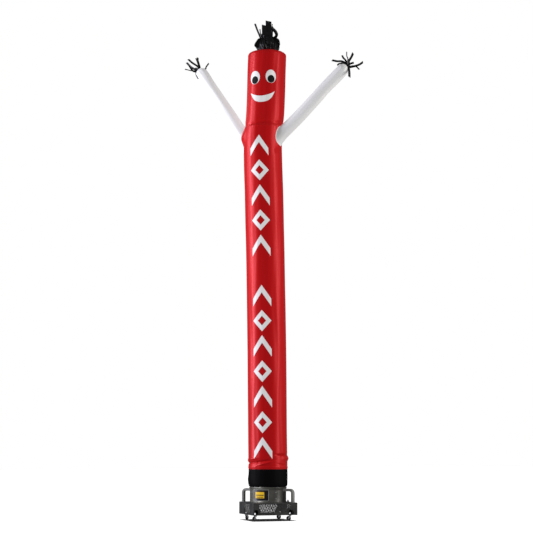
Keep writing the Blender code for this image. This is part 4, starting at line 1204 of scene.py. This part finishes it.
def lathe(profile, steps):
    # a closed profile of (radius, height) turned round the upright axis
    loop = np.array([*profile, profile[0]])
    points = heading(np.arange(steps) * 360.0 / steps) * loop[:, :1, None]
    points[..., 2] = loop[:, 1:]
    return ringPart(points, girth(steps, blower["drumRadius"]), runAlong(loop)[:, None])


def latheSolid(profile, steps, at, axis, mark=0):
    # an open profile of (radius, height) from pole to pole, turned round any axis through a point
    profile = np.array(profile)
    profile[:, 0] = np.maximum(profile[:, 0], 0.00005)
    helper = np.array([1.0, 0.0, 0.0]) if abs(axis[0]) < 0.8 else up3
    side = unit(np.cross(helper, axis))
    turn = circle(steps)[:, None]
    ring = side * np.cos(turn) + np.cross(axis, side) * np.sin(turn)
    points = np.asarray(at) + ring * profile[:, :1, None] + axis * profile[:, 1:, None]
    return surfacePart(points, True, np.linspace(0.0, 0.1, steps + 1), runAlong(profile)[:, None], mark)


def makeDrum():
    # flange, wall, rim bead and collar as one closed profile: the bead is an arc of an ellipse
    r, top, foot = blower["drumRadius"], blower["rimTop"], blower["baseTop"]
    collar, collarTop = blower["collarRadius"], blower["collarTop"]
    turn = np.linspace(math.pi - 0.15, 0.15, 12)
    bead = np.column_stack([r + 0.0072 * np.sin(turn), top - 0.009 + 0.0088 * np.cos(turn)])
    profile = [
        (r - 0.0055, foot + 0.0004), (r + 0.0088, foot + 0.0004), (r + 0.0088, foot + 0.0036),
        (r + 0.0040, foot + 0.0046), (r + 0.0012, foot + 0.0070), (r, foot + 0.0100), (r, foot + 0.060),
        (r, top - 0.040), (r, top - 0.020), *bead, (collar, top), (collar, collarTop - 0.001),
        (collar - 0.001, collarTop), (collar - 0.0035, collarTop), (collar - 0.0035, foot + 0.02),
    ]
    return buildPiece("drum_shell", [lathe(profile, 176)], [drumPaint], ["drum"])


def makeHandle(name, azimuth):
    # a flat tube: up from the base's corner, round a bend and in to the drum, with a weld at each end
    bend, top, foot = blower["handleBend"], blower["handleTop"], blower["baseTop"] + 0.0004
    end = blower["drumRadius"] * 0.9955
    middle = blower["handleReach"] - bend
    turn = np.radians(np.linspace(0.0, 90.0, 20))
    rise = foot + (top - bend - foot) * np.linspace(0.0, 1.0, 22)[:-1] ** 1.8
    inward = end + (middle - end) * np.linspace(1.0, 0.0, 14)[1:] ** 1.8
    reach = np.concatenate([0.0 * rise + blower["handleReach"], middle + bend * np.cos(turn), inward])
    height = np.concatenate([rise, top - bend * (1.0 - np.sin(turn)), 0.0 * inward + top])
    lean = np.concatenate([0.0 * rise, turn, 0.0 * inward + 0.5 * math.pi])[:, None]
    run = runAlong(np.column_stack([reach, height]))[:, None]
    # the section is a rectangle whose corners are rounded: a superellipse of power 6
    angle = circle(48)
    grow = (np.abs(np.cos(angle)) ** 6 + np.abs(np.sin(angle)) ** 6) ** (-1.0 / 6.0)
    weld = 0.0026 * (np.exp(-run / 0.0025) + np.exp((run - run[-1]) / 0.0025))
    across = (0.5 * blower["handleWide"] + weld) * np.cos(angle) * grow
    away = (0.5 * blower["handleThick"] + weld) * np.sin(angle) * grow
    out, side = heading(np.array(azimuth)), heading(np.array(azimuth + 90.0))
    points = out * (reach[:, None] + away * np.cos(lean))[..., None] + side * across[..., None]
    points = points + up3 * (height[:, None] + away * np.sin(lean))[..., None]
    caps = [0.999 * row.mean(0) + 0.001 * row for row in (points[0], points[-1])]
    points = np.concatenate([caps[:1], points, caps[1:]])
    v = np.concatenate([[[-0.01]], run, run[-1:] + 0.01])
    part = surfacePart(points, True, np.linspace(0.0, 0.13, 49), v)
    return buildPiece(name.replace("_", "_bar_"), [part], [tubePaint], [name])


drumPiece = makeDrum()
for name, azimuth in blower["handles"]:
    makeHandle(name, azimuth)

grille = {
    "pitch": 0.0062,
    "strand": 0.0024,
    "thick": 0.0008,
    "slope": {"front": 32.0, "left": 32.0, "back": 45.0, "right": 45.0},  # degrees of the strands
    "lap": 0.0037,  # behind the wall, beyond the window's edge
    "depth": 0.0036,  # behind the wall's face
}


def makeGrille(wall, turn, outline):
    # two layers of crossing strands; each line of strands is cut where it meets the outline's sides
    outline = np.array(outline)
    edges = np.roll(outline, -1, 0) - outline
    normals = unit(np.column_stack([edges[:, 1], -edges[:, 0]]))
    limits = (normals * outline).sum(1) + grille["lap"]
    parts = []
    for layer, way in ((0, 1.0), (1, -1.0)):
        a = math.radians(grille["slope"][wall]) * way
        along, across = np.array([math.cos(a), math.sin(a)]), np.array([-math.sin(a), math.cos(a)])
        start = outline.mean(0) + np.arange(-0.2, 0.2, grille["pitch"])[:, None] * across
        speed = normals @ along
        share = (limits - start @ normals.T) / speed
        first = np.where(speed < 0.0, share, -9.0).max(1)
        last = np.where(speed > 0.0, share, 9.0).min(1)
        good = last - first > 0.004
        ends = start[good][:, None] + along * np.stack([first, last], 1)[good][..., None]
        ring = []
        for side, back in ((-0.5, 0.0), (0.5, 0.0), (0.5, 1.0), (-0.5, 1.0)):
            flat = ends + across * side * grille["strand"]
            depth = grille["depth"] + (layer + back) * grille["thick"] - blower["wallFace"]
            ring.append(np.insert(flat, 1, depth, axis=-1))
        parts.append(prismParts(np.stack(ring, 2), lambda corners, sides: corners[..., [0, 2]]))
    spin = math.radians(turn)
    turned = np.array([[math.cos(spin), math.sin(spin), 0], [-math.sin(spin), math.cos(spin), 0], [0, 0, 1]])
    for part in parts:
        part["points"] = part["points"] @ turned
    return buildPiece("grille_" + wall, parts, [meshMetal], ["mesh_" + wall])


for wall, turn, outline in blower["windows"]:
    makeGrille(wall, turn, outline)

liner = {
    "places": [("left", -0.229), ("right", 0.190)],
    "radius": 0.0352,
    "spring": 0.098,
    "foot": 0.0704,
    "middle": 0.088,
    # distance along the blower, share of the arch's size
    "rows": [(-0.2662, 1.0), (-0.24, 1.0), (-0.20, 1.0), (-0.153, 1.0), (-0.150, 0.95), (-0.150, 0.02)],
    "thick": 0.0008,
}


def makeLiner(name, x):
    # the sheet behind an arch: a half-round channel, closed at its back, over the caster's stem
    turn = np.radians(np.linspace(0.0, 180.0, 25))
    arch = np.column_stack([np.cos(turn), np.sin(turn)]) * liner["radius"] + [x, liner["spring"]]
    wall = np.linspace(liner["foot"], liner["spring"], 5)[:-1]
    right = np.column_stack([0.0 * wall + x + liner["radius"], wall])
    left = np.column_stack([0.0 * wall + x - liner["radius"], wall[::-1]])
    rim = np.concatenate([right, arch, left])
    centre = np.array([x, liner["middle"]])
    points = np.stack([np.insert(centre + (rim - centre) * grow, 1, y, axis=1) for y, grow in liner["rows"]])
    rows, cols = points.shape[:2]
    corners = gridCorners(np.linspace(0.0, 0.18, cols), np.linspace(0.0, 0.15, rows)[:, None])
    faces, normals = gridFaces(rows, cols, False), gridNormals(points, False)
    sheet = thickSheet(points, faces, corners, normals, liner["thick"])
    return buildPiece("arch_liner_" + name, [sheet], [basePaint])


for name, x in liner["places"]:
    makeLiner(name, x)

label = {
    "azimuth": -43.0,
    "turn": 55.0,
    "foot": 0.225,
    "top": 0.358,
    "border": 0.008,
    "corner": 0.006,
    # left, right, foot and top of the patch's bars, as shares of its width and height
    "bars": [(-0.42, 0.44, 0.43, 0.56), (-0.30, 0.36, 0.13, 0.22)],
}


def drumPoint(azimuth, height, out):
    # heading * (radius + out), at a height
    point = heading(azimuth) * (blower["drumRadius"] + out)
    point[..., 2] = height
    return point


def curvedPlate(name, node, turn, low, high, out, thick, shift, materials, bars=()):
    # a plate bent round the drum, and plain bars on it
    sheets = []
    for mark, (left, right, foot, top) in enumerate([(-0.5, 0.5, 0.0, 1.0), *bars]):
        u, v = np.meshgrid(np.linspace(left, right, 41), np.linspace(foot, top, 9))
        azimuth = label["azimuth"] + shift + turn * u
        height = low + (high - low) * v
        points = drumPoint(azimuth, height, out + thick + (0.0006 if mark else 0.0))
        corners = gridCorners(np.radians(azimuth) * blower["drumRadius"], height)
        faces = gridFaces(*u.shape, False)
        sheets.append(thickSheet(points, faces, corners, heading(azimuth), thick, min(mark, 1)))
    return buildPiece(name, sheets, materials, [node])


def makeLabelFrame():
    # a half-round bar along a rounded rectangle that is wrapped on the drum
    r, bend = blower["drumRadius"], label["corner"]
    half = 0.5 * math.radians(label["turn"]) * r - 0.5 * label["border"] - bend
    tall = 0.5 * (label["top"] - label["foot"] - label["border"]) - bend
    turn = np.radians(np.linspace(0.0, 90.0, 9))
    path = []
    for quarter, (x, z) in enumerate(((half, tall), (-half, tall), (-half, -tall), (half, -tall))):
        angle = turn + quarter * 0.5 * math.pi
        path += [np.column_stack([x + bend * np.cos(angle), z + bend * np.sin(angle)])]
    path = np.concatenate(path)
    fine = []
    for a, b in zip(path, np.roll(path, -1, 0)):
        steps = max(int(np.hypot(*(b - a)) / 0.004), 1)
        fine.append(a + (b - a) * (np.arange(steps) / steps)[:, None])
    path = np.concatenate(fine)
    away = np.roll(path, -1, 0) - np.roll(path, 1, 0)
    away = unit(np.column_stack([away[:, 1], -away[:, 0]]))
    arc = np.linspace(0.0, math.pi, 9)
    inset = 0.5 * label["border"] * np.concatenate([np.cos(arc), [-0.9, 0.9]])
    lift = np.concatenate([0.0012 + 0.0034 * np.sin(arc), [0.0006, 0.0006]])
    flat = path + away * inset[:, None, None]
    azimuth = label["azimuth"] + np.degrees(flat[..., 0] / r)
    height = 0.5 * (label["top"] + label["foot"]) + flat[..., 1]
    points = drumPoint(azimuth, height, lift[:, None, None])
    points = np.concatenate([points, points[:1]])
    u, v = np.linspace(0.0, 0.6, len(path) + 1), np.linspace(0.0, 0.02, len(points))[:, None]
    return buildPiece("label_rim", [ringPart(points, u, v)], [tubePaint], ["label_frame"])


makeLabelFrame()
patchTurn = label["turn"] - 2.0 * math.degrees(label["border"] / blower["drumRadius"])
low, high = label["foot"], label["top"]
# turn, foot and top, distance off the drum, thickness, shift in degrees
curvedPlate(
    "label_back", "label_plate", patchTurn + 1.0, low + 0.0075, high - 0.0075, 0.0006, 0.0015, 0.0,
    [platePaint],
)
curvedPlate(
    "label_film", "label_patch", patchTurn * 0.60, low + 0.034, high - 0.028, 0.0026, 0.0005, -2.6,
    [filmYellow, platePaint], label["bars"],
)

bolts = {
    "turn": 180.0 / 28.0,
    "heights": (0.252, 0.325),
    "sunk": 0.0006,
    "washer": [(0.0, 0.0), (0.0090, 0.0), (0.0092, 0.0010), (0.0086, 0.0016), (0.0, 0.0016)],
    "head": [
        (0.0, 0.0012), (0.0066, 0.0012), (0.0066, 0.0036), (0.0058, 0.0050), (0.0030, 0.0058),
        (0.0, 0.0060),
    ],
}
for i in range(4):
    out = heading(np.array(bolts["turn"] + 90.0 * i))
    for j, height in enumerate(bolts["heights"]):
        spot = out * (blower["drumRadius"] - bolts["sunk"]) + up3 * height
        parts = [latheSolid(bolts["washer"], 28, spot, out), latheSolid(bolts["head"], 24, spot, out)]
        buildPiece(f"bolt_head_{i + 1}_{j + 1}", parts, [boltMetal], [f"bolt_{i + 1}_{j + 1}"])

casters = {
    "x": 0.212,
    "y": 0.175,
    "trail": 0.018,
    "axle": 0.02746,
    "legSpace": 0.0116,
    "floor": 0.0695,
    # body, side of the blower across and along, turn of the trailing wheel
    "places": [
        ("front_left", -1.0, -1.0, 205.0),
        ("front_right", 1.0, -1.0, 165.0),
        ("back_left", -1.0, 1.0, 40.0),
        ("back_right", 1.0, 1.0, 168.0),
    ],
    # distance from the axle, half of the height across the wheel: the other half mirrors it
    "tyre": [
        (0.0, 0.0095), (0.0084, 0.0095), (0.0104, 0.0084), (0.0214, 0.0078), (0.0230, 0.0087),
        (0.0249, 0.0085), (0.0266, 0.0068), (0.0274, 0.0038),
    ],
    "hub": [(0.0, 0.0102), (0.0058, 0.0102), (0.0066, 0.0090)],
    "axleBolt": [(0.0, 0.0146), (0.0030, 0.0146), (0.0046, 0.0138), (0.0048, 0.0128), (0.0024, 0.0120)],
    # distance from the upright axis, height
    "crown": [
        (0.0, 0.0560), (0.0120, 0.0560), (0.0132, 0.0572), (0.0132, 0.0590), (0.0164, 0.0596),
        (0.0170, 0.0604), (0.0170, 0.0630), (0.0160, 0.0639), (0.0, 0.0639),
    ],
    "stem": [
        (0.0, 0.0), (0.0118, 0.0), (0.0118, 0.0016), (0.0110, 0.0020), (0.0112, 0.0110), (0.0106, 0.0130),
        (0.0104, 0.0190), (0.0090, 0.0236), (0.0060, 0.0266), (0.0030, 0.0275), (0.0, 0.0276),
    ],
    # a leg's outline above and below its round foot, and the foot's radius
    "legTop": [(-0.0125, 0.0605), (0.0125, 0.0605), (0.0158, 0.0520)],
    "legBack": [(-0.0030, 0.0450)],
    "legRadius": 0.0078,
    # distance across the leg, share of the outline's size
    "legEdges": [
        (-0.0011, 0.001), (-0.0011, 0.95), (-0.0007, 1.0), (0.0007, 1.0), (0.0011, 0.95), (0.0011, 0.001),
    ],
}


def forkLeg(centre, ahead, out):
    # a flat leg: straight from the crown, round at the axle, with its edges cut off
    turn = np.radians(np.linspace(0.0, -180.0, 17))
    foot = np.column_stack([np.cos(turn), np.sin(turn)]) * casters["legRadius"]
    foot = foot + [casters["trail"], casters["axle"]]
    outline = np.concatenate([casters["legTop"], foot, casters["legBack"]])
    middle = outline.mean(0)
    rings = []
    for level, grow in casters["legEdges"]:
        flat = middle + (outline - middle) * grow
        rings.append(centre + ahead * flat[:, :1] + up3 * flat[:, 1:] + out * level)
    points = np.stack(rings)
    if np.cross(ahead, up3) @ out > 0.0:
        points = points[::-1]
    u, v = np.linspace(0.0, 0.12, len(outline) + 1), np.linspace(0.0, 0.02, len(points))[:, None]
    return surfacePart(points, True, u, v)


def bothHalves(half):
    return [(radius, -height) for radius, height in half] + half[::-1]


def makeCaster(name, xSide, ySide, turn):
    # the tyre, hub and axle bolt are turned round the axle, the crown and the cap nut round the upright axis
    centre = np.array([xSide * casters["x"], ySide * casters["y"], 0.0])
    t = math.radians(turn)
    ahead = np.array([math.cos(t), math.sin(t), 0.0])
    out = np.array([-math.sin(t), math.cos(t), 0.0])
    axle = centre + ahead * casters["trail"] + up3 * casters["axle"]
    tyre, hub, axleBolt = (bothHalves(casters[key]) for key in ("tyre", "hub", "axleBolt"))
    wheel = [latheSolid(tyre, 56, axle, out), latheSolid(hub, 32, axle, out, 1)]
    buildPiece("tyre_" + name, wheel, [rubberBlack, zincMetal], ["wheel_" + name], "rolling_" + name)
    yoke = [latheSolid(casters["crown"], 48, centre, up3), latheSolid(axleBolt, 28, axle, out)]
    for side in (-1.0, 1.0):
        yoke.append(forkLeg(centre + out * side * casters["legSpace"], ahead, out))
    buildPiece("yoke_" + name, yoke, [zincMetal], ["fork_" + name], "swivel_" + name)
    stem = latheSolid(casters["stem"], 36, centre + up3 * casters["floor"], up3)
    buildPiece("stem_" + name, [stem], [capMetalPaintedGlint])


for place in casters["places"]:
    makeCaster(*place)

gland = {
    "place": (0.238, -0.026, 0.2094),
    "profile": [
        (0.0, 0.0), (0.0138, 0.0), (0.0140, 0.0040), (0.0128, 0.0054), (0.0096, 0.0060), (0.0089, 0.0100),
        (0.0093, 0.0106), (0.0086, 0.0150), (0.0090, 0.0156), (0.0080, 0.0230), (0.0066, 0.0240),
        (0.0040, 0.0240), (0.0038, 0.0100), (0.0, 0.0100),
    ],
}
glandPart = latheSolid(gland["profile"], 40, gland["place"], up3)
buildPiece("gland_sleeve", [glandPart], [rubberBlack], ["cord_gland"])


def named(*starts):
    return [shape for shape in bpy.context.scene.objects if shape.name.startswith(starts)]


finishes = {"base": basePaint, "plate_": zincMetal}
for node, shape in frame["nodes"].items():
    for start, material in finishes.items():
        if node.startswith(start):
            shape.data.materials[0] = material
# only the blower shades the floor, and the low lamp shines past the base's sheets on the drum and cap nuts
shadesFloor = lightGroup("shadesTheFloor", named("base", "drum_shell", "tyre_", "yoke_", "plate_"))
floorSun.light_linking.blocker_collection = shadesFloor
lowLamp = addLamp("lowLamp", lightGroup("litLow", [drumPiece, *named("stem_")]))
clearOfLamp = lightGroup("letsLowLightBy", named("base", "arch_liner_", "grille_"), "EXCLUDE")
lowLamp.light_linking.blocker_collection = clearOfLamp
print("blower is dressed")

floorMaterial, _, floorShader, _ = startMaterial("paleFloor")
floorShader["Base Color"].default_value = (*grey(studio["floorGrey"]), 1.0)
floorShader["Roughness"].default_value = 0.7
floorPiece.data.materials.append(floorMaterial)
